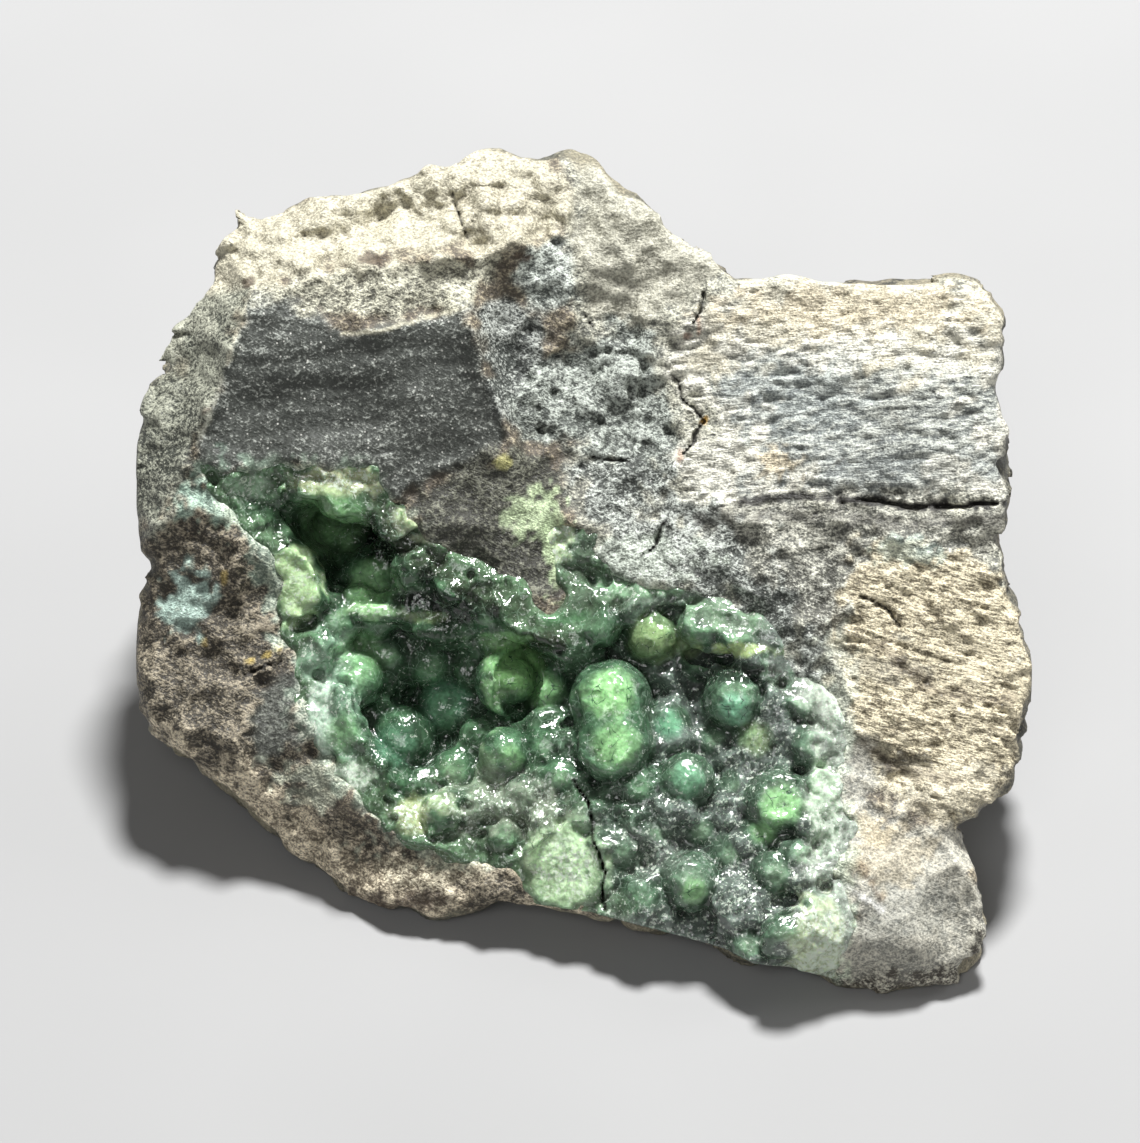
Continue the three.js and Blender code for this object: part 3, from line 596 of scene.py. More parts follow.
# Small stains, and spots of painted shade: colour, strength, and an ellipse's middle and half widths
# in the photo's pixels.
STAINS_AND_SHADE = [
    ((150, 178, 158), 0.5, (232, 496), (44, 34)),
    ((150, 176, 160), 0.4, (275, 560), (18, 60)),
    ((178, 186, 166), 0.45, (345, 775), (60, 26)),
    ((176, 184, 164), 0.5, (450, 838), (80, 22)),
    ((190, 196, 180), 0.4, (835, 700), (24, 70)),
    ((190, 200, 176), 0.5, (838, 890), (16, 80)),
    ((176, 186, 170), 0.4, (640, 560), (60, 26)),
    ((176, 202, 190), 0.75, (188, 600), (26, 32)),
    ((170, 200, 184), 0.5, (205, 500), (24, 20)),
    ((176, 198, 188), 0.4, (905, 552), (30, 14)),
    ((214, 178, 72), 0.7, (250, 518), (5, 4)),
    ((190, 166, 92), 0.5, (226, 577), (3, 8)),
    ((190, 166, 92), 0.4, (207, 642), (3, 5)),
    ((200, 176, 96), 0.6, (252, 661), (4, 3)),
    ((200, 176, 96), 0.6, (269, 655), (5, 4)),
    ((200, 176, 96), 0.5, (281, 648), (3, 4)),
    ((222, 172, 66), 0.9, (704, 421), (6, 6)),
    ((140, 92, 56), 0.55, (698, 326), (4, 10)),
    ((112, 64, 40), 0.6, (687, 337), (6, 4)),
    ((140, 92, 56), 0.5, (679, 458), (4, 6)),
    ((190, 208, 166), 0.8, (536, 516), (26, 26)),
    ((184, 204, 160), 0.8, (556, 560), (13, 40)),
    ((196, 192, 126), 0.7, (503, 463), (8, 7)),
    ((186, 140, 84), 0.6, (801, 892), (7, 6)),
    # Painted shade over a brown tint, in pits and under the top ledge's lip.
    ((64, 50, 38), 0.8, (372, 262), (14, 7)),
    ((64, 50, 38), 0.8, (250, 284), (8, 5)),
    ((70, 52, 38), 0.8, (523, 258), (9, 5)),
    ((60, 48, 38), 0.8, (212, 411), (8, 5)),
    ((58, 60, 57), 0.6, (980, 770), (26, 8)),
    ((58, 60, 57), 0.5, (895, 760), (26, 12)),
    ((50, 44, 38), 0.6, (560, 590), (14, 14)),
    ((212, 204, 180), 0.6, (940, 790), (60, 26)),
    ((196, 180, 148), 0.35, (850, 312), (130, 26)),
    ((206, 184, 142), 0.45, (775, 464), (24, 16)),
    ((146, 155, 154), 0.35, (790, 395), (60, 44)),
    ((128, 134, 132), 0.35, (890, 472), (110, 22)),
    ((112, 112, 104), 0.4, (880, 668), (44, 14)),
    ((96, 96, 88), 0.5, (868, 752), (26, 20)),
    ((92, 94, 88), 0.5, (900, 637), (9, 8)),
    ((110, 114, 110), 0.35, (890, 905), (60, 40)),
    ((206, 192, 160), 0.5, (860, 826), (26, 18)), ((196, 182, 152), 0.35, (884, 850), (46, 34)),
]
# Stains, painted highlights and painted shadows along a line: colour, strength, half width in
# millimetres, and a path in pixels.
STREAKS_AND_PAINTED_LIGHT = [
    ((225, 225, 220), 0.7, 0.3, [(821, 876), (850, 886), (876, 904)]),
    ((120, 100, 78), 0.5, 0.25, [(828, 826), (850, 850), (874, 893)]),
    ((84, 70, 52), 0.5, 0.4, [(868, 640), (930, 690), (1000, 700)]),
    ((84, 70, 52), 0.5, 0.5, [(850, 735), (900, 770), (950, 778)]),
    # Painted highlights along the sharp edges of the dark face.
    ((200, 196, 176), 0.7, 0.12, [(252, 296), (240, 335), (231, 365)]),
    ((190, 190, 174), 0.6, 0.14, [(225, 380), (212, 420), (199, 447)]),
    ((200, 196, 172), 0.6, 0.16, [(345, 336), (380, 334), (412, 325), (466, 309)]),
    # Painted shadow under the panel's ledge, over a seam with some dirt in it, and painted shade below
    # it.
    ((34, 32, 30), 0.95, 0.32,
     [(745, 503), (790, 497), (830, 499), (872, 503), (915, 509), (1000, 504)]),
    ((84, 82, 76), 0.6, 0.5, [(700, 520), (760, 516), (830, 516), (900, 524), (1000, 520)]),
    ((88, 86, 78), 0.6, 0.07, [(790, 486), (812, 476), (840, 460), (862, 448), (880, 440)]),
    ((60, 44, 34), 0.7, 0.8, [(290, 905), (400, 905), (440, 893)]),
]
SIDE_COLOURS = ((88, 89, 80), (136, 131, 112), (62, 62, 56))
SIDE_FLECK = (168, 158, 134)
# Rock of the display face that no area covers.
BARE_ROCK, BARE_FLECK = (100, 92, 80), (160, 150, 128)
CRACK_COLOUR = (22, 18, 15)
# The rock at the crust's edge, which thin crystals cover.
CRUSTED_ROCK = (150, 168, 150)
CRUSTED_FLECK = (204, 214, 196)


def area_masks(u, v):
    """How much of each area shows at a point, from the top one down."""
    left = np.ones(np.broadcast(u, v).shape)
    masks = {}
    stray = 0.9 * grain(u, v, 3.3, 11.3) + 0.7 * grain(u, v, 1.3, 12.9, 1, 0.4)
    stray = stray + 0.6 * grain(u, v, 0.6, 13.9)
    for name in reversed(AREAS):
        ragged, outline = AREAS[name][3], from_photo(AREAS[name][5])
        soft = 0.3 + 0.25 * ragged
        inside = smoothstep(-outline_distance(outline, u, v) + ragged * stray, -soft, soft)
        masks[name] = inside * left
        left = left * (1 - inside)
    return masks, left


# The kinds of relief that the areas have shares of, in millimetres.
RELIEF_KINDS = {
    "plain": lambda u, v: 1.5 * chips((u, v), 3.4, 5) + 0.9 * chips((u, v), 1.5, 9)
    + 0.45 * chips((u, v), 0.75, 13),
    "fine": lambda u, v: 0.05 * grain(u, v, 1.3, 4.1) + 0.04 * grain(u, v, 0.5, 4.7),
    "scratched": lambda u, v: 0.08 * ridges(grain(u, v, 0.6, 5.5, 6, 0.05))
    + 0.12 * chips((u / 3, v), 1.4, 17) + 0.14 * terraces(grain(u, v, 1.3, 5.9, 5, 0.1), 3),
    "laminated": lambda u, v: 0.1 * terraces(grain(u, v, 1.2, 6.5, 4, 0.05), 3)
    - 0.17 * ridges(grain(u, v, 0.6, 6.9, 2.2, 0.06))
    - 0.14 * ridges(grain(u, v, 0.4, 7.5, 2, -0.1))
    + 0.12 * chips((u / 1.6, v), 1.5, 29)
    - 0.2 * smoothstep(grain(u, v, 0.42, 30.5, 3, 0.15), 0.3, 0.6),
    "streaked": lambda u, v: 0.1 * terraces(grain(u, v, 1.2, 8.5, 4, -0.35), 3)
    - 0.17 * ridges(grain(u, v, 0.6, 8.9, 2.2, -0.3))
    - 0.14 * ridges(grain(u, v, 0.4, 9.5, 2, -0.2))
    + 0.2 * chips((u / 1.4, v), 1.4, 31)
    - 0.2 * smoothstep(grain(u, v, 0.45, 32.5, 2.6, -0.3), 0.3, 0.6),
    "crumbly": lambda u, v: -1.9 * chips((u, v), 2.3, 21) - 1.1 * chips((u, v), 1.1, 23)
    - 0.4 * chips((u, v), 0.6, 25),
    "pitted": lambda u, v: -0.6 * smoothstep(grain(u, v, 0.9, 14.5), 0.25, 0.7)
    - 0.3 * smoothstep(grain(u, v, 0.5, 15.5), 0.25, 0.75),
    "druse": lambda u, v: -0.5 * chips((u, v), 0.8, 27) + 0.1 * grain(u, v, 0.4, 17.5),
}


def edge_height(u, v):
    """How far the sharp edges of the facets stand out."""
    stray = 0.35 * grain(u, v, 1.7, 24.5) + 0.15 * grain(u, v, 0.7, 25.5)
    raised = np.zeros(np.broadcast(u, v).shape)
    for half, height, path in EDGES_OF_FACETS:
        out = path_distance(from_photo(path), u + stray, v - stray) / half
        raised = np.maximum(raised, height * np.exp(-out))
    return raised


def crack_depth(u, v):
    """How deep the rock is cracked, from 0 to 1."""
    fu = u + 0.22 * grain(u, v, 1.1, 21.5) + 0.1 * grain(u, v, 0.5, 26.5)
    fv = v + 0.22 * grain(u, v, 1.1, 23.5) + 0.1 * grain(u, v, 0.5, 27.5)
    width = CRACK_WIDTH * (1 + 0.4 * grain(u, v, 1.3, 22.5))
    deep = np.zeros(np.broadcast(u, v).shape)
    for path in ROCK_CRACKS:
        points = from_photo(path)
        to_end = np.minimum(*[np.hypot(fu - x, fv - y) for x, y in (points[0], points[-1])])
        taper = 0.35 + 0.65 * smoothstep(to_end, 0, 1.6)
        deep = np.maximum(deep, 1 - path_distance(points, fu, fv) / (width * taper))
    return np.clip(deep, 0, 1)


def fine_relief(u, v):
    """What the display face has over the solids' relief."""
    masks, bare = area_masks(u, v)
    shares = {kind: 0 for kind in RELIEF_KINDS}
    shares["plain"] = shares["plain"] + bare
    for name, mask in masks.items():
        for kind, share in AREAS[name][4].items():
            shares[kind] = shares[kind] + share * mask
    detail = sum(share * RELIEF_KINDS[kind](u, v) for kind, share in shares.items())
    return detail + edge_height(u, v) - CRACK_DEPTH * crack_depth(u, v)


def to_part(u, v, w):
    """From the display frame to the part's."""
    return u, (v - w) * SLANT, (v + w) * SLANT + FACE_HEIGHT


def to_face(x, y, z):
    return x, (y + z - FACE_HEIGHT) * SLANT, (z - FACE_HEIGHT - y) * SLANT


def across_layers(u, v, w):
    """Distance across the rock's layers."""
    return u * LAYER_DIP[0] + v * LAYER_DIP[1] + w * LAYER_DIP[2]


def crags(x, y, z):
    """Finer breaks on the rock's sides."""
    turned = x + 0.6 * y, y - 0.6 * x + 0.3 * z, z - 0.3 * y
    return broken(turned, CRAGS, 11)


def thin_layers(x, y, z):
    """The edges of thin layers, worn back one under the other."""
    u, v, w = to_face(x, y, z)
    thickness, height = THIN_LAYER
    sway = 0.4 * noise(x / 3, y / 3, z / 3) + 0.5 * noise(u / 9, v / 9, w / 9)
    worn = np.clip(0.5 + noise(x / 4 + 9, y / 4, z / 4), 0, 1)
    layer = across_layers(u, v, w) / thickness + sway
    return height * worn * smoothstep(layer % 1, 0, 0.7)


def grid_of(low, high, step):
    axes = [np.arange(l, h + step, step) for l, h in zip(low, high)]
    return axes[0][:, None, None], axes[1][None, :, None], axes[2][None, None, :]


def in_slabs(field, axes):
    """A field over a grid, made a few layers at a time."""
    u, v, w = axes
    starts = range(0, w.shape[2], SLAB_LAYERS)
    layers = [field(u, v, w[:, :, at : at + SLAB_LAYERS]) for at in starts]
    return np.concatenate(layers, axis=2)


def picked(near, *fields):
    """Each field's values at the points of a grid that a mask picks."""
    return [np.broadcast_to(field, near.shape)[near] for field in fields]


def rock_values(axes):
    u, v, _ = axes
    relief = relief_at(u, v)
    top = relief + fine_relief(u, v)
    mouth, depth = vug_maps(u, v)
    sides_map = outline_distance(FACE_OUTLINE, u, v)

    def field(u, v, w):
        x, y, z = to_part(u, v, w)
        x = x + 0 * z
        layer = across_layers(u, v, w) / LAYER_SPACING + 0.5 * noise(u / 8, v / 8, w / 8)
        ledge = LAYER_HEIGHT * smoothstep(layer - np.floor(layer), 0.1, 0.9)
        sides = sides_map + WALL_TAPER * np.maximum(relief - 2 - w, 0)
        foot = FOOT_TAPER * np.maximum(FOOT_HEIGHT - z, 0)
        plan = outline_distance(PLAN_OUTLINE, x, y + 0 * u) + foot + ledge
        walls = smooth_max(sides, plan, EDGE_ROUNDING)
        under = relief - w
        near = (np.abs(walls) < ROUGH_BAND) & (under > -0.5) & (z > -0.5)
        *place, down = picked(near, x, y, z, under)
        rough = smoothstep(down, 1, 6) * weathering(*place)
        walls[near] += rough + smoothstep(down, 0, 2) * (crags(*place) + thin_layers(*place))
        whole = smooth_max(walls, w - top, EDGE_ROUNDING)
        rock = smooth_max(whole, -vug_at(u, v, w, relief, mouth, depth), MOUTH_ROUNDING)
        return np.maximum(rock, -z).astype(np.float32)

    return in_slabs(field, axes)


def scattered(rows, columns):
    """Small balls in rough rows over the vug."""
    balls = []
    for row, column in itertools.product(range(*rows), range(*columns)):
        u = FILLER_SPACING * (column + (row & 1) / 2 + 0.3 * lattice(column, row, 1))
        v = FILLER_SPACING * 0.87 * (row + 0.3 * lattice(column, row, 2))
        balls.append((u, v, FILLER_RADIUS + FILLER_SPREAD * lattice(column, row, 3)))
    balls = np.array(balls)
    return balls[outline_distance(VUG_MOUTH, balls[:, 0], balls[:, 1]) < FILLER_INSET]


def stands_out(u, radius):
    return (radius > LARGE_BALL) & (u > LEFT_WALL)


def seat(balls):
    """Each ball sits on the crust where a line straight into the display face meets it."""
    u, v, radius = np.array(balls, float).T
    relief = relief_at(u, v)
    mouth, depth = vug_maps(u, v)
    w = relief + 1
    for _ in range(SEAT_STEPS):
        free = vug_at(u, v, w, relief, mouth, depth) < -CRUST_THICKNESS
        w = np.where(free & (w > relief - SEAT_DEPTH), w - SEAT_STEP, w)
    at_rim = relief - 0.3 - 0.25 * np.clip(-mouth, 0, 2)
    w = w + LARGE_BALL_LIFT * radius * stands_out(u, radius) * (u > LEFT_POCKETS)
    return np.stack([u, v, np.minimum(w, at_rim), radius], axis=1)


def outside_cleared(balls):
    balls = np.array(balls)
    u, v, reach = CLEARED
    return balls[np.hypot(balls[:, 0] - u, balls[:, 1] - v) > reach]


BIG_BALLS = seat(outside_cleared(BALLS + [BETWEEN_THE_PAIR]))
FILLERS = seat(outside_cleared(scattered((-12, 5), (-9, 9))))


def local_box(axes, centre, reach):
    """The part of a grid round a point, as slices and as coordinates."""
    slices = []
    for axis, at in zip(axes, centre):
        values = axis.ravel()
        slices.append(slice(*np.searchsorted(values, (at - reach, at + reach))))
    u, v, w = axes
    return tuple(slices), (u[slices[0]], v[:, slices[1]], w[:, :, slices[2]])


def ball_distance(coordinates, centre):
    return np.sqrt(sum((a - c) ** 2 for a, c in zip(coordinates, centre)))


def grow(values, axes, balls, blend):
    for *centre, radius in balls:
        box, coordinates = local_box(axes, centre, radius + 1.2)
        to_ball = ball_distance(coordinates, centre) - radius
        values[box] = smooth_min(values[box], to_ball, blend)


def seated_at(u, v):
    gap = (BIG_BALLS[:, 0] - u) ** 2 + (BIG_BALLS[:, 1] - v) ** 2
    return BIG_BALLS[np.argmin(gap)]


def break_shells(values, axes):
    """Opens the outer shell of some balls, round a core."""
    for place, core, opening, height in BROKEN_SHELLS:
        *centre, radius = seated_at(*place)
        box, (bu, bv, bw) = local_box(axes, centre, radius + 1.5)
        along = sum((a - c) * o for a, c, o in zip((bu, bv, bw), centre, opening))
        out = ball_distance((bu, bv, bw), centre)
        ragged = 0.35 * noise(bu / 0.9, bv / 0.9, bw / 0.9)
        gap = np.maximum(out - (radius - SHELL_THICKNESS), core * radius - out)
        gap = np.maximum(gap, 0.1 * radius - along)
        lid = np.maximum(core * radius - out, height * radius + ragged - along)
        lid = np.maximum(lid, out - radius - 0.3)
        values[box] = np.maximum(values[box], -np.minimum(gap, lid))


def ellipsoid(values, axes, form):
    """Distance to an ellipsoid whose middle is given by its depth under the face, in its own box."""
    (u, v, depth), radii = form
    centre = (u, v, float(relief_at(np.array(u), np.array(v))) - depth)
    box, coordinates = local_box(axes, centre, max(radii) + 1)
    return box, ellipsoid_distance(coordinates, centre, radii)


def hang_lips(values, axes):
    """Lips and broken sheets of the crust that stick out of the vug's upper wall."""
    for form in HOLLOWS:
        box, hollow = ellipsoid(values, axes, form)
        values[box] = smooth_max(values[box], -hollow, HOLLOW_BLEND)
    for form in LIPS:
        box, lip = ellipsoid(values, axes, form)
        values[box] = smooth_min(values[box], lip, LIP_BLEND)


def glassy(u, v):
    spots = [smoothstep(radius - np.hypot(u - mu, v - mv), -0.6, 0.4) for mu, mv, radius in GLASSY]
    return np.max(spots, axis=0)


def crust_crack(u, v):
    """Distance to the crack's sides, negative in it."""
    stray = 0.3 * grain(u, v, 1.2, 31.5)
    width = 0.07 * (1 + grain(u, v, 1.5, 33.5))
    return path_distance(CRUST_CRACK, u + stray, v) - width


def crust_values(axes):
    u, v, w = axes
    relief = relief_at(u, v)
    mouth, depth = vug_maps(u, v)
    outline = outline_distance(FACE_OUTLINE, u, v)

    def layer(u, v, w):
        vug = vug_at(u, v, w, relief, mouth, depth)
        slope = 0.6 * np.clip(-mouth - 0.2, 0, 3)
        slope = slope * smoothstep(from_cut_ball(u, v), 2.6, 3.2)
        return np.maximum(-(vug + CRUST_THICKNESS), w - relief - LAYER_PROUD + slope)

    proud = mix(0.2, BALL_PROUD, smoothstep(-mouth, 0.6, 3))
    proud = proud + 0.3 * grain(u, v, 1.3, 71.5) - 0.25 * np.abs(grain(u, v, 0.7, 72.5))
    in_cut = from_cut_ball(u, v) < CUT_BALL[2]
    proud = np.where(in_cut, 0.15, np.minimum(proud, BALL_PROUD))

    def wall(u, v, w):
        below = np.clip(relief - w, 0, MORE_BELOW)
        bound = vug_at(u, v, w, relief, mouth, depth) - CRUST_INTO_ROCK - below
        return np.maximum(np.maximum(bound, outline + CRUST_INSET), w - relief - proud)

    values = in_slabs(layer, axes)
    grow(values, axes, FILLERS, FILLER_BLEND)
    near = np.abs(values) < CHIPPED_BAND
    *at, rough = picked(near, u, v, w, 1 - 0.8 * glassy(u, v))
    values[near] -= rough * broken(at, DRUSE, 17)
    large = stands_out(BIG_BALLS[:, 0], BIG_BALLS[:, 3])
    grow(values, axes, BIG_BALLS[~large], SMALL_BALL_BLEND)
    grow(values, axes, BIG_BALLS[large], BALL_BLEND)
    break_shells(values, axes)
    hang_lips(values, axes)
    near = (np.abs(values) < CHIPPED_BAND) & (mouth > -5.4) & (relief - w < 5)
    inner = mouth + 2 * smoothstep(-u, 14, 16)
    shape = smoothstep(inner, -3.2, -1.4) * (1 - 0.85 * glassy(u, v))
    *at, shape, top = picked(near, u, v, w, shape, relief - 2 * smoothstep(-u, 13, 15))
    shape = shape * smoothstep(at[2] - top, -3, -1)
    values[near] -= shape * broken(at, RIM_DRUSE, 19)
    near = np.abs(values) < SUGARY_BAND
    *at, top = picked(near, u, v, w, relief)
    sugary = 1 + 2.5 * smoothstep(1.2 - (top - at[2]), 0, 1.2)
    values[near] += sugary * sum(0.045 * noise(*[a / size for a in at]) for size in (0.9, 0.5))
    values = np.maximum(values, -np.maximum(crust_crack(u, v), relief - CRUST_CRACK_DEPTH - w))
    return np.maximum(values, in_slabs(wall, axes)).astype(np.float32)


# The closed surface where a grid of values passes 0, one vertex for each cell that it crosses.
CORNERS = [(c & 1, (c >> 1) & 1, c >> 2) for c in range(8)]
EDGES = [(a, a | bit) for a in range(8) for bit in (1, 2, 4) if not a & bit]


def surface_of(values, axes):
    inside = values < 0
    nu, nv, nw = values.shape
    count = np.zeros((nu - 1, nv - 1, nw - 1), np.uint8)
    for i, j, k in CORNERS:
        count += inside[i : nu - 1 + i, j : nv - 1 + j, k : nw - 1 + k]
    cells = np.argwhere((count > 0) & (count < 8))
    corner = [values[tuple((cells + c).T)] for c in CORNERS]
    place = np.zeros(cells.shape)
    crossings = np.zeros((len(cells), 1))
    for a, b in EDGES:
        crossed = (corner[a] < 0) != (corner[b] < 0)
        span = np.where(crossed, corner[a] - corner[b], 1)
        t = np.clip(corner[a] / span, 0.02, 0.98)[:, None]
        start, end = np.array(CORNERS[a]), np.array(CORNERS[b])
        place += np.where(crossed[:, None], start + (end - start) * t, 0)
        crossings += crossed[:, None]
    steps = np.array([axis.ravel()[1] - axis.ravel()[0] for axis in axes])
    origin = np.array([axis.ravel()[0] for axis in axes])
    points = origin + (cells + place / crossings) * steps

    vertex = np.full(count.shape, -1, np.int32)
    vertex[tuple(cells.T)] = np.arange(len(cells))
    quads = []
    for axis in range(3):
        across, along = [(1, 2), (2, 0), (0, 1)][axis]
        ahead = np.moveaxis(inside, axis, 0)
        changes = np.moveaxis(ahead[1:] != ahead[:-1], 0, axis)
        core = [slice(1, n - 1) for n in values.shape]
        core[axis] = slice(0, values.shape[axis] - 1)
        at = np.argwhere(changes[tuple(core)])
        at += [1 if other != axis else 0 for other in range(3)]
        before, beside = np.eye(3, dtype=int)[across], np.eye(3, dtype=int)[along]
        ring = [at, at - before, at - before - beside, at - beside]
        quad = np.stack([vertex[tuple(c.T)] for c in ring], axis=1)
        solid = inside[tuple(at.T)]
        quads.append(np.where(solid[:, None], quad, quad[:, ::-1]))
    return points, np.concatenate(quads)


def largest_body(points, quads):
    """Drops the crumbs and the sealed hollows."""
    label = np.arange(len(points))
    while True:
        least = label[quads].min(axis=1)
        new = label.copy()
        for side in range(4):
            np.minimum.at(new, quads[:, side], least)
        new = new[new]
        if (new == label).all():
            break
        label = new
    sizes = np.bincount(label[quads[:, 0]], minlength=len(points))
    return points, quads[label[quads[:, 0]] == sizes.argmax()]


def within_box(points):
    """Eases the points that pass the solids' box back into it."""
    room = BOX_EASE
    low, high = [np.array(corner) / MM for corner in cad_bounds]
    low[2] = -np.inf
    over = points - (high - room)
    points = np.where(over > 0, high - room + room * (1 - np.exp(-over / room)), points)
    under = low + room - points
    return np.where(under > 0, low + room - room * (1 - np.exp(-under / room)), points)


def mesh_object(name, points, quads, keep=None):
    """A mesh object from points in the display frame. The points to keep aren't thinned out."""
    points, quads, used = only_used(points, quads)
    placed = np.stack(to_part(*points.T), axis=1)
    placed[:, 2] = np.where(placed[:, 2] < FOOT_FLAT, FOOT_LEVEL, placed[:, 2])
    placed = within_box(placed) * MM
    mesh = bpy.data.meshes.new(name)
    mesh.vertices.add(len(placed))
    mesh.vertices.foreach_set("co", placed.ravel())
    mesh.loops.add(quads.size)
    mesh.loops.foreach_set("vertex_index", quads.ravel())
    mesh.polygons.add(len(quads))
    mesh.polygons.foreach_set("loop_start", np.arange(0, quads.size, 4))
    mesh.update(calc_edges=True)
    mesh.validate()
    piece = bpy.data.objects.new(name, mesh)
    bpy.context.scene.collection.objects.link(piece)
    print(name, 2 * len(quads), "triangles before thinning")
    if 2 * len(quads) > MOST_TRIANGLES:
        lighten(piece, MOST_TRIANGLES / (2 * len(quads)), None if keep is None else keep[used])
    piece.data.shade_smooth()
    return piece


def only_used(points, quads):
    used = np.unique(quads)
    moved = np.full(len(points), -1)
    moved[used] = np.arange(len(used))
    return points[used], moved[quads], used


def lighten(piece, ratio, keep):
    """Fewer triangles, taken first from where the surface is flat."""
    fewer = piece.modifiers.new("fewer", "DECIMATE")
    fewer.ratio = ratio
    if keep is not None:
        group = piece.vertex_groups.new(name="thin")
        group.add(np.flatnonzero(~keep).tolist(), 1.0, "REPLACE")
        fewer.vertex_group = "thin"
    graph = bpy.context.evaluated_depsgraph_get()
    mesh = bpy.data.meshes.new_from_object(piece.evaluated_get(graph))
    piece.modifiers.clear()
    piece.vertex_groups.clear()
    old = piece.data
    piece.data = mesh
    bpy.data.meshes.remove(old)
    mesh.name = piece.name


def vertex_places(mesh):
    flat = np.zeros(3 * len(mesh.vertices))
    mesh.vertices.foreach_get("co", flat)
    return flat.reshape(-1, 3)


def face_points(piece):
    """A piece's vertices in the display frame."""
    return to_face(*(vertex_places(piece.data).T / MM))


def hollowness(piece, rounds):
    """How far each vertex lies under its surroundings, in millimetres."""
    mesh = piece.data
    places = vertex_places(mesh)
    count = len(places)
    normals = np.zeros(3 * count)
    mesh.vertex_normals.foreach_get("vector", normals)
    ends = np.zeros(2 * len(mesh.edges), np.int32)
    mesh.edges.foreach_get("vertices", ends)
    start, end = np.concatenate([ends[::2], ends[1::2]]), np.concatenate([ends[1::2], ends[::2]])
    degree = 1 + np.bincount(start, minlength=count)
    eased = places.copy()
    for _ in range(rounds):
        sums = [np.bincount(start, eased[end, axis], count) for axis in range(3)]
        eased = (eased + np.stack(sums, axis=1)) / degree[:, None]
    return ((eased - places) * normals.reshape(-1, 3)).sum(axis=1) / MM


def store(piece, name, colours, extra):
    """A colour and one more number for each vertex."""
    attribute = piece.data.color_attributes.new(name, "FLOAT_COLOR", "POINT")
    values = np.concatenate([np.clip(colours, 0, 1), np.clip(extra, 0, 1)[:, None]], axis=1)
    attribute.data.foreach_set("color", values.astype(np.float32).ravel())


def side_colours(u, v, w):
    """The rock's colour, and its flecks', away from the display face."""
    x, y, z = to_part(u, v, w)
    layer = across_layers(u, v, w) + 0.8 * noise(x / 5, y / 5, z / 5)
    band = noise(0 * x, layer / 1.6, 0 * x + 0.5) + 0.5 * noise(x / 2.4, y / 2.4, z / 2.4)
    grey, tan, dark = [colour(*c) for c in SIDE_COLOURS]
    side = mix(grey, tan, smoothstep(band, 0.1, 0.7)[:, None])
    return mix(side, dark, smoothstep(-band, 0.15, 0.6)[:, None] * 0.8)


def painted(base, shade, share):
    """A colour laid over others, by a share for each point."""
    return mix(base, colour(*shade), share[:, None])


def ellipse_distance(u, v, middle, halves):
    """Distance from an ellipse's middle, 1 at its edge. The ellipse is in the photo's pixels."""
    ((mu, mv),) = from_photo([middle])
    return np.hypot((u - mu) / (halves[0] * PHOTO_SCALE), (v - mv) / (halves[1] * PHOTO_SCALE))


def area_tints(masks, bare):
    """The areas' colour, their flecks' colour, and how much the flecks cover, at each point."""
    tint = bare[:, None] * colour(*BARE_ROCK)
    fleck = bare[:, None] * colour(*BARE_FLECK)
    share = 0.3 * bare
    for name, mask in masks.items():
        base, flecks, cover = AREAS[name][:3]
        tint = tint + mask[:, None] * colour(*base)
        fleck = fleck + mask[:, None] * colour(*flecks)
        share = share + mask * cover
    return tint, fleck, share


def stains_and_painted_light(tint, fleck, u, v, on_face):
    """The rock's colours under its stains and streaks, its painted shade, shadows and highlights, and
    the thin crystals beside the vug.
    """
    stray = 0.35 * grain(u, v, 1.8, 50.5) + 0.5 * grain(u, v, 0.8, 51.5)
    stray = (stray + 0.7 * grain(u, v, 0.42, 52.5)) * on_face
    for stain_and_painted_light, strength, middle, halves in STAINS_AND_SHADE:
        out = ellipse_distance(u, v, middle, halves)
        cover = strength * on_face * smoothstep(1 + stray - out, -0.15, 0.3)
        tint = painted(tint, stain_and_painted_light, cover)
        fleck = mix(fleck, 1.3 * colour(*stain_and_painted_light), cover[:, None])
    for stain_and_painted_light, strength, half, path in STREAKS_AND_PAINTED_LIGHT:
        out = path_distance(from_photo(path), u, v) / half
        cover = strength * on_face * smoothstep(1.4 + 1.5 * stray - out, 0, 1)
        tint, fleck = painted(tint, stain_and_painted_light, cover), painted(fleck, stain_and_painted_light, cover)
    mouth, _ = vug_maps(u, v)
    beside = np.maximum(smoothstep(-u, 9, 14), smoothstep(u, 13, 17)) * on_face
    crusted = 0.65 * beside * smoothstep(1.1 + 1.3 * stray - mouth, 0, 1.3)
    return painted(tint, CRUSTED_ROCK, crusted), painted(fleck, CRUSTED_FLECK, crusted)


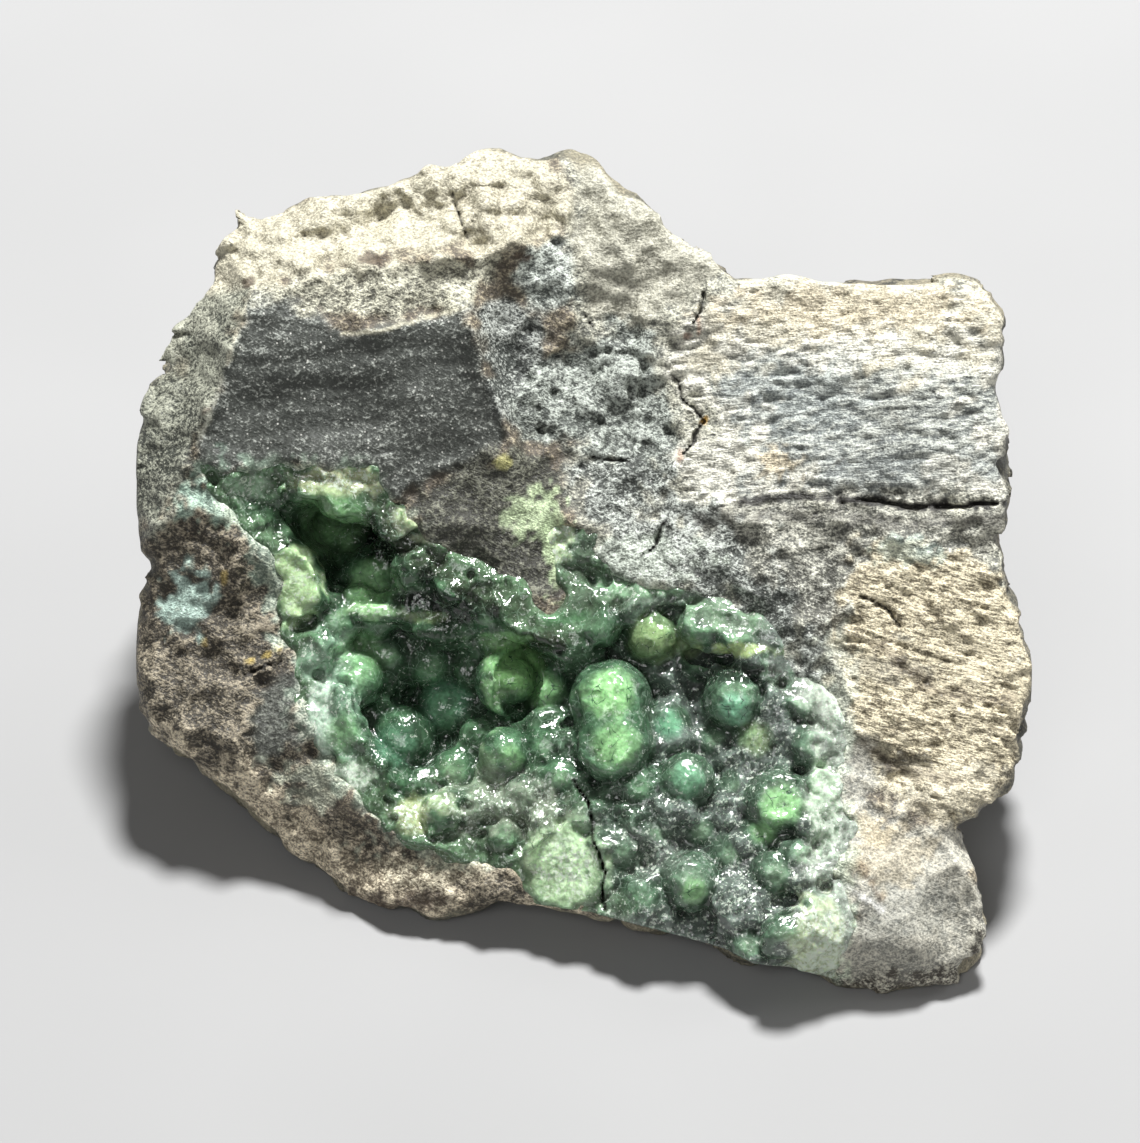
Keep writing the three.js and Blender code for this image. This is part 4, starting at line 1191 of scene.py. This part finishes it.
def paint_rock(rock):
    """Tints the rock by its areas and stains, with painted shade in its hollows and light on its
    ridges.

    The extra numbers are how much it sparkles, and how much of it the flecks cover.
    """
    u, v, w = face_points(rock)
    x, y, z = to_part(u, v, w)
    under = relief_at(u, v) - w

    masks, bare = area_masks(u, v)
    tint, fleck, share = area_tints(masks, bare)
    clumps = 0.6 * grain(u, v, 3.6, 43.5, 1.6) + 0.5 * grain(u, v, 1.4, 41.5, 1.4, 0.3)
    share = share + 0.3 * clumps * (1 - 0.6 * masks["dark_face"])

    side = side_colours(u, v, w)
    on_face = smoothstep(1.6 - under + 0.5 * noise(x / 1.5, y / 1.5, z / 1.5), 0, 0.8)
    tint = mix(side, tint, on_face[:, None])
    fleck = mix(mix(side, colour(*SIDE_FLECK), 0.4), fleck, on_face[:, None])
    share = mix(0.35 + 0.3 * noise(x / 3, y / 3, z / 3), share, on_face)

    tint, fleck = stains_and_painted_light(tint, fleck, u, v, on_face)

    # Painted shade and light: darker in the hollows and lighter on the ridges, with more pale flecks
    # on the ridges; calmer on the panels and the top ledge.
    small, wide = hollowness(rock, 3), hollowness(rock, 14)
    hollow = np.clip(2.4 * small + 0.6 * wide, -1, 1)
    calm = masks["panel"] + masks["panel_top"] + masks["tan_panel"] + 0.6 * masks["top_ledge"]
    hollow = hollow * (1 - 0.75 * calm)
    shade = np.where(hollow > 0, 1 - 0.72 * hollow, 1 - 0.5 * hollow)[:, None]
    share = share - 0.5 * hollow
    cracked = 0.9 * smoothstep(crack_depth(u, v), 0.2, 0.7) * on_face
    tint = painted(tint * shade, CRACK_COLOUR, cracked)
    fleck = painted(fleck * shade, CRACK_COLOUR, cracked)
    # How many bright flakes each area has: pale mineral grains, partly painted glints.
    sparkle = 0.2 + 0.7 * masks["white_druse"] + 0.7 * masks["dark_face"] + 0.4 * masks["valley"]
    store(rock, "tint", tint, sparkle)
    store(rock, "flecks", fleck, share)
    kinds = np.zeros((len(u), 3))
    for name, mask in masks.items():
        kinds += mask[:, None] * [AREAS[name][4].get(kind, 0) for kind in SHADER_KINDS]
    store(rock, "kinds", kinds * on_face[:, None], np.ones(len(u)))


# The crust's colours, and where its balls shine: middle and radius in the photo's pixels,
# strength and colour.
CRUST_GREEN = (66, 92, 68)
# Painted shade where the crust lies deep in the vug.
CRUST_DEPTH_SHADE = (22, 38, 28)
CRUST_SMOKE = (90, 102, 94)
# Painted shade, in the gaps and where the rock shades the crust.
PAINTED_SHADE = (10, 16, 13)
BALL_GREEN = (84, 122, 90)
# Painted light: the lit core of a ball that light shines through.
BALL_LIT_CORE = (138, 174, 136)
RIM_GREEN = (182, 202, 162)
RIM_WHITE = (206, 216, 200)
GLOW_GREEN = (160, 214, 148)
GLOW_BLUE = (122, 182, 144)
GLOW_OLIVE = (148, 174, 120)
# Pale crystal dust, partly painted glints.
HAZE_AND_GLINT = (206, 218, 202)
GLOWS = [
    ((608, 694), 25, 0.95, GLOW_GREEN), ((614, 742), 24, 0.75, GLOW_GREEN),
    ((652, 636), 24, 0.8, GLOW_OLIVE), ((734, 704), 17, 0.9, (140, 200, 164)),
    ((777, 800), 22, 0.8, GLOW_GREEN), ((667, 723), 14, 0.65, GLOW_BLUE),
    ((686, 778), 18, 0.5, GLOW_BLUE), ((545, 688), 19, 0.7, GLOW_GREEN),
    ((691, 887), 14, 0.7, GLOW_GREEN), ((760, 828), 13, 0.7, GLOW_GREEN),
    ((755, 738), 17, 0.5, GLOW_OLIVE), ((370, 585), 24, 0.5, GLOW_GREEN),
    ((515, 668), 28, 0.75, (134, 184, 116)), ((512, 755), 14, 0.5, GLOW_GREEN),
    ((330, 520), 34, 0.35, GLOW_GREEN), ((360, 660), 26, 0.3, GLOW_GREEN),
    ((345, 730), 20, 0.4, GLOW_GREEN), ((395, 745), 22, 0.3, GLOW_BLUE),
    ((446, 704), 24, 0.45, GLOW_BLUE),
    ((565, 865), 44, 0.85, (194, 226, 178)), ((690, 645), 14, 0.4, GLOW_OLIVE),
]
# Where the broken crust is pale, in the photo's pixels: middle, half widths, strength and colour.
PALE_PATCHES = [
    ((296, 580), (30, 42), 0.95, (172, 200, 150)), ((340, 482), (50, 17), 0.8, (172, 180, 142)),
    ((405, 522), (17, 13), 0.85, (176, 188, 156)), ((430, 538), (16, 8), 0.8, (176, 188, 156)),
    ((372, 610), (30, 9), 0.8, (150, 186, 138)), ((430, 616), (22, 7), 0.6, (140, 164, 118)),
    ((415, 812), (24, 18), 0.8, (172, 184, 140)), ((440, 800), (22, 14), 0.8, RIM_GREEN),
    ((560, 860), (38, 36), 0.8, RIM_GREEN), ((815, 940), (34, 50), 0.8, (196, 210, 172)),
    ((742, 648), (36, 7), 1, (178, 200, 140)), ((820, 800), (20, 46), 0.6, (184, 208, 178)),
    ((330, 660), (34, 34), 0.7, (146, 176, 152)), ((340, 722), (34, 40), 0.6, (134, 166, 142)),
    ((322, 720), (16, 60), 0.7, (186, 206, 188)), ((550, 530), (22, 36), 1, RIM_GREEN),
    ((830, 690), (22, 40), 0.6, RIM_WHITE), ((345, 775), (34, 14), 0.9, (186, 206, 182)),
    ((475, 545), (26, 10), 0.6, RIM_GREEN), ((520, 810), (70, 34), 0.6, (144, 154, 134)),
    ((470, 770), (40, 24), 0.4, (140, 160, 124)), ((250, 490), (26, 14), 0.6, (160, 190, 160)),
    ((640, 588), (44, 10), 0.6, (150, 190, 150)), ((560, 618), (26, 7), 0.5, (96, 140, 96)),
    ((492, 690), (11, 42), 0.7, (150, 192, 140)), ((500, 640), (30, 9), 0.6, (140, 186, 128)),
    ((415, 520), (28, 10), 0.7, (176, 198, 150)), ((500, 785), (70, 24), 0.45, (122, 132, 118)),
    ((640, 850), (50, 30), 0.3, (120, 130, 120)), ((820, 640), (34, 20), 0.6, (168, 190, 170)),
    ((726, 612), (46, 24), 0.5, (140, 168, 138)), ((565, 618), (30, 9), 0.5, (92, 132, 96)),
]

# Where the crust is in the shade of the rock, in the same way.
SHADED_PATCHES = [
    ((455, 605), (74, 20), 0.9), ((540, 642), (42, 13), 0.95), ((600, 612), (26, 22), 0.5),
    ((432, 566), (26, 18), 0.8), ((470, 590), (30, 14), 0.75), ((358, 532), (32, 28), 0.6),
    ((392, 536), (44, 34), 0.9), ((420, 640), (40, 30), 0.4), ((402, 744), (40, 30), 0.75),
    ((735, 672), (50, 12), 0.8),
]


def patches(forms, u, v, stray):
    """How much each ragged ellipse covers each point."""
    for middle, halves, strength, *_ in forms:
        out = ellipse_distance(u, v, middle, halves)
        yield strength * smoothstep(1.1 + 0.45 * stray - out, 0, 0.5)


def paint_balls(tint, smooth, u, v, w):
    """The larger balls are green, with painted light in the core and painted shade at the edge. They
    are smooth, too.
    """
    for n, (bu, bv, bw, radius) in enumerate(BIG_BALLS):
        out = ball_distance((u, v, w), (bu, bv, bw)) - radius
        across = np.hypot(u - bu, v - bv) / radius
        on_ball = smoothstep(-np.abs(out), -0.4, -0.15)
        smooth = np.maximum(smooth, on_ball)
        tint = painted(tint, BALL_GREEN, 0.7 * on_ball)
        # Painted light in each ball's core, and painted shade towards its edge.
        core = on_ball * (0.4 + 0.4 * lattice(n, 3, 5)) * smoothstep(-across, -0.65, -0.2)
        tint = painted(tint, BALL_LIT_CORE, core)
        tint = tint * (1 - 0.45 * on_ball * smoothstep(across, 0.5, 0.9))[:, None]
    return tint, smooth


def paint_rim(tint, u, v, under, cloud, mottle):
    """The pale crust at the rim and where it is broken, and how pale each point is."""
    mouth, _ = vug_maps(u, v)
    reach = 0.9 + 0.8 * noise(u / 2.2, v / 2.2, 3.7)
    at_rim = smoothstep(reach - under, -0.3, 0.5) * smoothstep(mouth, -2.6, -1.2)
    right = smoothstep(u - 0.4 * v + 3 * cloud, 17, 22)
    rim = mix(colour(*RIM_GREEN), colour(*RIM_WHITE), smoothstep(u + 4 * cloud, 4, 16)[:, None])
    tint = mix(tint, rim, (at_rim * (0.08 + 0.35 * right))[:, None])
    pale = np.zeros(len(u))
    for patch, (*_, shade) in zip(patches(PALE_PATCHES, u, v, mottle), PALE_PATCHES):
        cover = patch * np.maximum(at_rim, smoothstep(2.4 - under, 0, 1.2))
        tint = mix(tint, colour(*shade) * (1 + 0.25 * mottle)[:, None], cover[:, None])
        pale = np.maximum(pale, cover)
    return tint, pale


def paint_glows(tint, u, v, cloud, mottle):
    """The balls that light shines through, and how much each point glows."""
    glow = np.zeros(len(u))
    for middle, radius, strength, shade in GLOWS:
        out = ellipse_distance(u, v, middle, (radius, radius))
        share = strength * smoothstep(1.25 + 0.2 * mottle + 0.15 * cloud - out, 0, 0.8)
        tint = painted(tint, shade, share)
        glow = np.maximum(glow, share)
    return tint, glow


def paint_crust(crust):
    """Tints the crust by ball, rim and glow, with painted shade by depth and in its gaps.

    The extra numbers are how much a ball glows, how smooth the crust is, and how much pale dust and
    painted glints it has.
    """
    u, v, w = face_points(crust)
    under = relief_at(u, v) - w
    cloud = noise(u / 1.8, v / 1.8, w / 1.8)
    mottle = noise(u / 0.7, v / 0.7, w / 0.7)

    tint = mix(colour(*CRUST_GREEN), colour(*CRUST_SMOKE), smoothstep(u + 3 * cloud, -4, 8)[:, None])
    # Painted shade: darker the deeper the crust lies under the face.
    tint = painted(tint, CRUST_DEPTH_SHADE, smoothstep(under + cloud, 1.5, 6) * 0.6)
    tint = tint * (1 + 0.3 * mottle)[:, None]
    tint, smooth = paint_balls(tint, 0.8 * glassy(u, v), u, v, w)
    smoky = smoothstep(u - 0.5 * v + 3 * cloud, 8, 20)[:, None]
    tint = mix(tint, tint.mean(axis=1)[:, None] * np.array([0.98, 1.05, 1]), 0.25 * smoky)
    # Painted shade in the gaps between the balls, and painted light on their tops.
    small, wide = hollowness(crust, 3), hollowness(crust, 16)
    hollow = np.clip(2.5 * small + 1.9 * wide, -0.6, 1)
    tint = painted(tint, PAINTED_SHADE, 0.9 * np.clip(hollow, 0, 1))
    shaded = np.max(list(patches(SHADED_PATCHES, u, v, mottle)), axis=0)
    tint = painted(tint, PAINTED_SHADE, 0.95 * shaded)
    tint = tint * (1 + 0.8 * np.clip(-hollow, 0, 1))[:, None]

    tint, pale = paint_rim(tint, u, v, under, cloud, mottle)
    tint, glow = paint_glows(tint, u, v, cloud, mottle)
    out, turn = from_cut_ball(u, v), np.arctan2(v - CUT_BALL[1], u - CUT_BALL[0])
    in_cut = smoothstep(CUT_BALL[2] - out, 0, 0.3)
    fibre = noise(14 * turn, out / 1.6, 0 * u + 0.5) + 0.5 * noise(26 * turn, out / 1.2, 0 * u + 7.5)
    tint = tint * (1 + 0.35 * fibre * in_cut)[:, None]
    glow = glow * (1 - 0.9 * in_cut)
    # Pale dust and painted glints: more to the lower right and on the pale rim, fewer on glowing and
    # smooth balls, none in the painted shade.
    haze_and_glints = 0.05 + 0.27 * smoothstep(u - 0.8 * v + 4 * cloud, 12, 24) + 0.5 * pale - 0.5 * glow
    haze_and_glints = haze_and_glints * (1 - 0.6 * smooth) * (1 - shaded) * smoothstep(7 - under, 0, 4)
    cracked = smoothstep(0.12 - crust_crack(u, v), 0, 0.1)
    tint = painted(tint, CRACK_COLOUR, 0.85 * cracked)
    store(crust, "tint", tint, glow)
    store(crust, "marks", np.stack([smooth] * 3, axis=1), haze_and_glints * (1 - cracked))


# Materials.
class Nodes:
    """A material's nodes, made and wired by name."""

    def __init__(self, name):
        self.material = bpy.data.materials.new(name)
        self.material.use_nodes = True
        self.tree = self.material.node_tree
        self.shader = self.tree.nodes["Principled BSDF"]

    def add(self, kind, settings=None, **inputs):
        node = self.tree.nodes.new("ShaderNode" + kind)
        for key, value in (settings or {}).items():
            setattr(node, key, value)
        self.wire(node, inputs)
        return node

    def wire(self, node, inputs):
        for key, value in inputs.items():
            socket = node.inputs[int(key[1:]) if key[0] == "_" else key.replace("_", " ")]
            if hasattr(value, "is_output"):
                self.tree.links.new(value, socket)
            else:
                socket.default_value = value

    def ramp(self, value, low, high, to_low=0.0, to_high=1.0):
        """A number eased from one range to another."""
        node = self.add("MapRange", {"interpolation_type": "SMOOTHSTEP"}, Value=value)
        self.wire(node, {"From_Min": low, "From_Max": high, "To_Min": to_low, "To_Max": to_high})
        return node.outputs["Result"]

    def math(self, operation, a, b):
        return self.add("Math", {"operation": operation}, _0=a, _1=b).outputs[0]

    def times(self, first, *others):
        for other in others:
            first = self.math("MULTIPLY", first, other)
        return first

    def attribute(self, name):
        return self.add("Attribute", {"attribute_name": name})

    def blend(self, kind, share, a, b):
        node = self.add("Mix", {"data_type": "RGBA", "blend_type": kind}, _0=share, _6=a, _7=b)
        return node.outputs[2]

    def grey(self, shade):
        return self.add("CombineColor", None, Red=shade, Green=shade, Blue=shade).outputs[0]

    def flakes(self, where, size, rarest, common):
        """Small bright flakes, and how much each stands out."""
        cells = self.add("TexVoronoi", None, Vector=where, Scale=1 / (size * MM))
        pick = self.add("SeparateColor", None, Color=cells.outputs["Color"]).outputs["Red"]
        near = self.ramp(cells.outputs["Distance"], 0.15, 0.4, 1.0, 0.0)
        return self.times(self.ramp(pick, rarest, common), near)

    def noise(self, where, size, detail=2.0, **inputs):
        """Noise with lumps of a size in millimetres."""
        scale = 1 / (size * MM)
        node = self.add("TexNoise", None, Vector=where, Scale=scale, Detail=detail, **inputs)
        return node.outputs["Fac"]


def stretched(m, face, sizes, turn=0.0):
    """Coordinates of the display face, drawn out to lumps of these sizes in millimetres."""
    turned = m.add("Mapping", None, Vector=face, Rotation=(0, 0, -turn)).outputs[0]
    scale = tuple(1 / (size * MM) for size in sizes)
    return m.add("Mapping", None, Vector=turned, Scale=scale).outputs[0]


def glinting(m, where, size, amount):
    """A normal that each small flake tilts its own way."""
    cells = m.add("TexVoronoi", None, Vector=where, Scale=1 / (size * MM)).outputs["Color"]
    settings = {"operation": "SUBTRACT"}
    lean = m.add("VectorMath", settings, _0=cells, _1=(0.5, 0.5, 0.5)).outputs[0]
    lean = m.add("VectorMath", {"operation": "SCALE"}, Vector=lean, Scale=amount).outputs[0]
    normal = m.add("NewGeometry").outputs["Normal"]
    tilted = m.add("VectorMath", {"operation": "ADD"}, _0=normal, _1=lean).outputs[0]
    return m.add("VectorMath", {"operation": "NORMALIZE"}, _0=tilted).outputs[0]


def rock_material():
    m = Nodes("rock")
    where = m.add("TexCoord").outputs["Object"]
    face = m.add("Mapping", None, Vector=where, Rotation=(-math.pi / 4, 0, 0)).outputs[0]
    tint, flecks = m.attribute("tint"), m.attribute("flecks")
    kinds = m.attribute("kinds").outputs["Color"]
    kinds = m.add("SeparateColor", None, Color=kinds).outputs
    laminated, streaked, smooth = kinds["Red"], kinds["Green"], kinds["Blue"]

    def strokes(sizes, turn, detail=4.0):
        at = stretched(m, face, sizes, turn)
        node = m.add("TexNoise", None, Vector=at, Scale=1.0, Detail=detail, Roughness=0.6)
        return node.outputs["Fac"]

    crumb = m.noise(where, 0.38, 4, Roughness=0.66)
    fibre = m.math("MAXIMUM", strokes((0.85, 0.2, 0.4), 0.35), strokes((0.8, 0.18, 0.4), -0.5))
    height = m.blend("MIX", 0.5, crumb, m.math("SUBTRACT", fibre, 0.05))
    ripple = strokes((0.95, 0.27, 0.5), 0.05)
    height = m.blend("MIX", m.times(laminated, 0.7), height, ripple)
    streak = strokes((0.9, 0.26, 0.5), -0.25)
    height = m.blend("MIX", m.times(streaked, 0.7), height, streak)
    grit = m.noise(where, 0.16, 2)
    height = m.math("ADD", m.times(height, 0.8), m.times(grit, 0.2))

    level = m.math("SUBTRACT", 0.615, m.times(flecks.outputs["Alpha"], 0.26))
    spot = m.ramp(m.math("SUBTRACT", height, level), -0.07, 0.07)
    base = m.blend("MIX", spot, tint.outputs["Color"], flecks.outputs["Color"])
    calm = m.ramp(smooth, 0, 1, 1.0, 0.6)
    # Painted shade in the low parts of the fine relief and painted light on its high parts, calmer
    # where the area is smooth.
    shade = m.ramp(height, 0.36, 0.6, 0.66, 1.18)
    shade = m.math("ADD", m.times(m.math("SUBTRACT", shade, 1.0), calm), 1.0)
    shade = m.times(shade, m.ramp(grit, 0.3, 0.7, 0.8, 1.2))
    base = m.blend("MULTIPLY", 1.0, base, m.grey(shade))

    # Bright flakes lightened in the base colour: pale mineral grains, and painted glints as well.
    fleck = m.times(m.flakes(where, 0.24, 0.9, 0.96), tint.outputs["Alpha"])
    base = m.blend("MIX", fleck, base, (0.72, 0.72, 0.66, 1))

    rough = m.math("SUBTRACT", m.ramp(grit, 0.3, 0.7, 0.45, 0.75), m.times(fleck, 0.3))
    strength = m.times(calm, 0.9)
    glint = glinting(m, where, 0.2, 0.3)
    settings = {"Strength": strength, "Distance": 0.0004, "Height": height, "Normal": glint}
    bump = m.add("Bump", None, **settings)
    m.wire(m.shader, {"Base_Color": base, "Roughness": rough, "Normal": bump.outputs[0]})
    m.shader.inputs["Specular IOR Level"].default_value = 0.5
    return m.material


def crust_material():
    m = Nodes("wavellite")
    where = m.add("TexCoord").outputs["Object"]
    tint, marks = m.attribute("tint"), m.attribute("marks")
    glow = tint.outputs["Alpha"]
    smooth, haze_and_glints = marks.outputs["Fac"], marks.outputs["Alpha"]
    cloud = m.noise(where, 0.9, 3)
    small = m.noise(where, 0.3, 2)
    shade = m.times(m.ramp(cloud, 0.3, 0.7, 0.75, 1.25), m.ramp(small, 0.3, 0.7, 0.8, 1.2))
    base = m.blend("MULTIPLY", 1.0, tint.outputs["Color"], m.grey(shade))

    stray = m.add("TexNoise", None, Vector=where, Scale=1 / (0.8 * MM)).outputs["Color"]
    bent = m.blend("MIX", 0.0006, where, stray)
    settings = {"feature": "DISTANCE_TO_EDGE"}
    webs = m.add("TexVoronoi", settings, Vector=bent, Scale=1 / (0.95 * MM))
    line = m.ramp(webs.outputs["Distance"], 0.008, 0.045, 1.0, 0.0)
    gaps = m.ramp(m.noise(where, 0.8, 1), 0.46, 0.54)
    line = m.times(line, gaps)
    bright = m.ramp(glow, 0.25, 0.7)
    dark_line = m.times(line, bright, 0.85)
    pale_line = m.times(line, m.math("SUBTRACT", 1.0, bright), 0.3)
    base = m.blend("MIX", dark_line, base, (0.012, 0.05, 0.03, 1))
    base = m.blend("MIX", pale_line, base, (0.35, 0.5, 0.38, 1))
    # Pale crystal dust, partly painted glints.
    dust_and_glints = m.noise(where, 0.36, 4, Roughness=0.7)
    level = m.math("SUBTRACT", 0.64, m.times(haze_and_glints, 0.24))
    dust_and_glints = m.ramp(m.math("SUBTRACT", dust_and_glints, level), -0.03, 0.05)
    base = m.blend("MIX", m.times(dust_and_glints, 0.8), base, (*colour(*HAZE_AND_GLINT), 1))

    # Painted glints: small flakes made bright in the base colour, fewer on the smooth balls.
    spark = m.flakes(where, 0.2, 0.88, 0.94)
    spark = m.times(spark, m.ramp(smooth, 0, 1, 0.7, 0.12))
    base = m.blend("MIX", spark, base, (0.62, 0.74, 0.6, 1))

    rough = m.ramp(small, 0.3, 0.7, 0.04, 0.16)
    scales = m.add("TexVoronoi", None, Vector=bent, Scale=1 / (0.34 * MM)).outputs["Distance"]
    glint = glinting(m, where, 0.3, m.ramp(smooth, 0, 1, 0.42, 0.12))
    low = m.add("Bump", None, Strength=0.5, Distance=0.0001, Height=small, Normal=glint)
    uneven = m.math("SUBTRACT", 0.45, m.times(bright, 0.38))
    fine = m.add("Bump", None, Strength=uneven, Distance=0.00006, Height=scales, Normal=low.outputs[0])
    m.wire(m.shader, {"Base_Color": base, "Roughness": rough, "Normal": fine.outputs[0]})
    fixed = {
        "IOR": 1.53, "Coat Weight": 0.35, "Coat Roughness": 0.08, "Subsurface Weight": 0.25,
        "Subsurface Scale": 0.0011,
    }
    for name, value in fixed.items():
        m.shader.inputs[name].default_value = value
    m.shader.inputs["Subsurface Radius"].default_value = (0.45, 1.0, 0.6)
    return m.material


def floor_material():
    m = Nodes("floor")
    where = m.add("TexCoord").outputs["Object"]
    shade = m.ramp(m.noise(where, 40, 2), 0.3, 0.7, 0.335, 0.35)
    m.wire(m.shader, {"Base_Color": m.grey(shade), "Roughness": 0.85})
    return m.material


def dress(piece, material, node):
    piece.data.materials.clear()
    piece.data.materials.append(material)
    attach(piece, "root")
    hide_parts(node)


def make_rock():
    """One closed surface in two pieces: the display face, and the sides with all that is hidden."""
    axes = grid_of(*ROCK_GRID, ROCK_STEP)
    points, quads = largest_body(*surface_of(rock_values(axes), axes))
    u, v, w = points.T
    relief = relief_at(u, v)
    mouth, depth = vug_maps(u, v)
    open_rock = vug_at(u, v, w, relief, mouth, depth) > HIDDEN_ROCK
    shown = (relief - w < FACE_PIECE_DEPTH) & open_rock
    shown = shown[quads].all(axis=1)
    edge = np.zeros(len(points), bool)
    edge[np.intersect1d(quads[shown], quads[~shown])] = True
    material = rock_material()
    for name, part in (("rock_face", quads[shown]), ("rock_sides", quads[~shown])):
        piece = mesh_object(name, points, part, edge)
        paint_rock(piece)
        dress(piece, material, "matrix")


def make_crust():
    axes = grid_of(*CRUST_GRID, CRUST_STEP)
    crust = mesh_object("crust", *largest_body(*surface_of(crust_values(axes), axes)))
    paint_crust(crust)
    dress(crust, crust_material(), "wavellite_crust")


def make_floor():
    mesh = bpy.data.meshes.new("floor")
    half = 1.5
    corners = [(-half, -half, 0), (half, -half, 0), (half, half, 0), (-half, half, 0)]
    mesh.from_pydata(corners, [], [(0, 1, 2, 3)])
    floor = bpy.data.objects.new("floor", mesh)
    floor.location.z = -0.0001
    mesh.materials.append(floor_material())
    bpy.context.scene.collection.objects.link(floor)


def aim(thing, target):
    thing.rotation_euler = (Vector(target) - thing.location).to_track_quat("-Z", "Y").to_euler()


def add_light(name, place, size, power, tone=(1, 1, 1)):
    lamp = bpy.data.lights.new(name, "AREA")
    lamp.shape = "DISK"
    lamp.size = size
    lamp.energy = power
    lamp.color = tone
    light = bpy.data.objects.new(name, lamp)
    light.location = place
    bpy.context.scene.collection.objects.link(light)
    aim(light, (0, 0, 0.016))


def make_lights():
    add_light("key", (0.06, 0.24, 0.6), 0.12, 8.6)
    add_light("side", (0.5, 0.1, 0.3), 0.25, 0.6)
    add_light("fill", (-0.12, -0.5, 0.55), 0.3, 1.1)
    world = bpy.data.worlds.new("studio")
    world.use_nodes = True
    backdrop = world.node_tree.nodes["Background"]
    backdrop.inputs["Color"].default_value = (1, 0.99, 0.97, 1)
    backdrop.inputs["Strength"].default_value = 0.08
    bpy.context.scene.world = world
    bpy.context.scene.view_settings.view_transform = "Standard"


def make_camera():
    """Looks square on to the display face, from 45 degrees above the level."""
    away = 0.6
    photo_height = 1143
    target = Vector((-0.72, -0.18, 15.82)) * MM
    lens = bpy.data.cameras.new("camera")
    lens.sensor_width = 36
    lens.lens = lens.sensor_width * away / (photo_height * PHOTO_SCALE * MM)
    camera = bpy.data.objects.new("camera", lens)
    camera.location = target + away * Vector((0, -SLANT, SLANT))
    bpy.context.scene.collection.objects.link(camera)
    aim(camera, target)
    bpy.context.scene.camera = camera


make_camera()
make_lights()
make_floor()
make_rock()
make_crust()
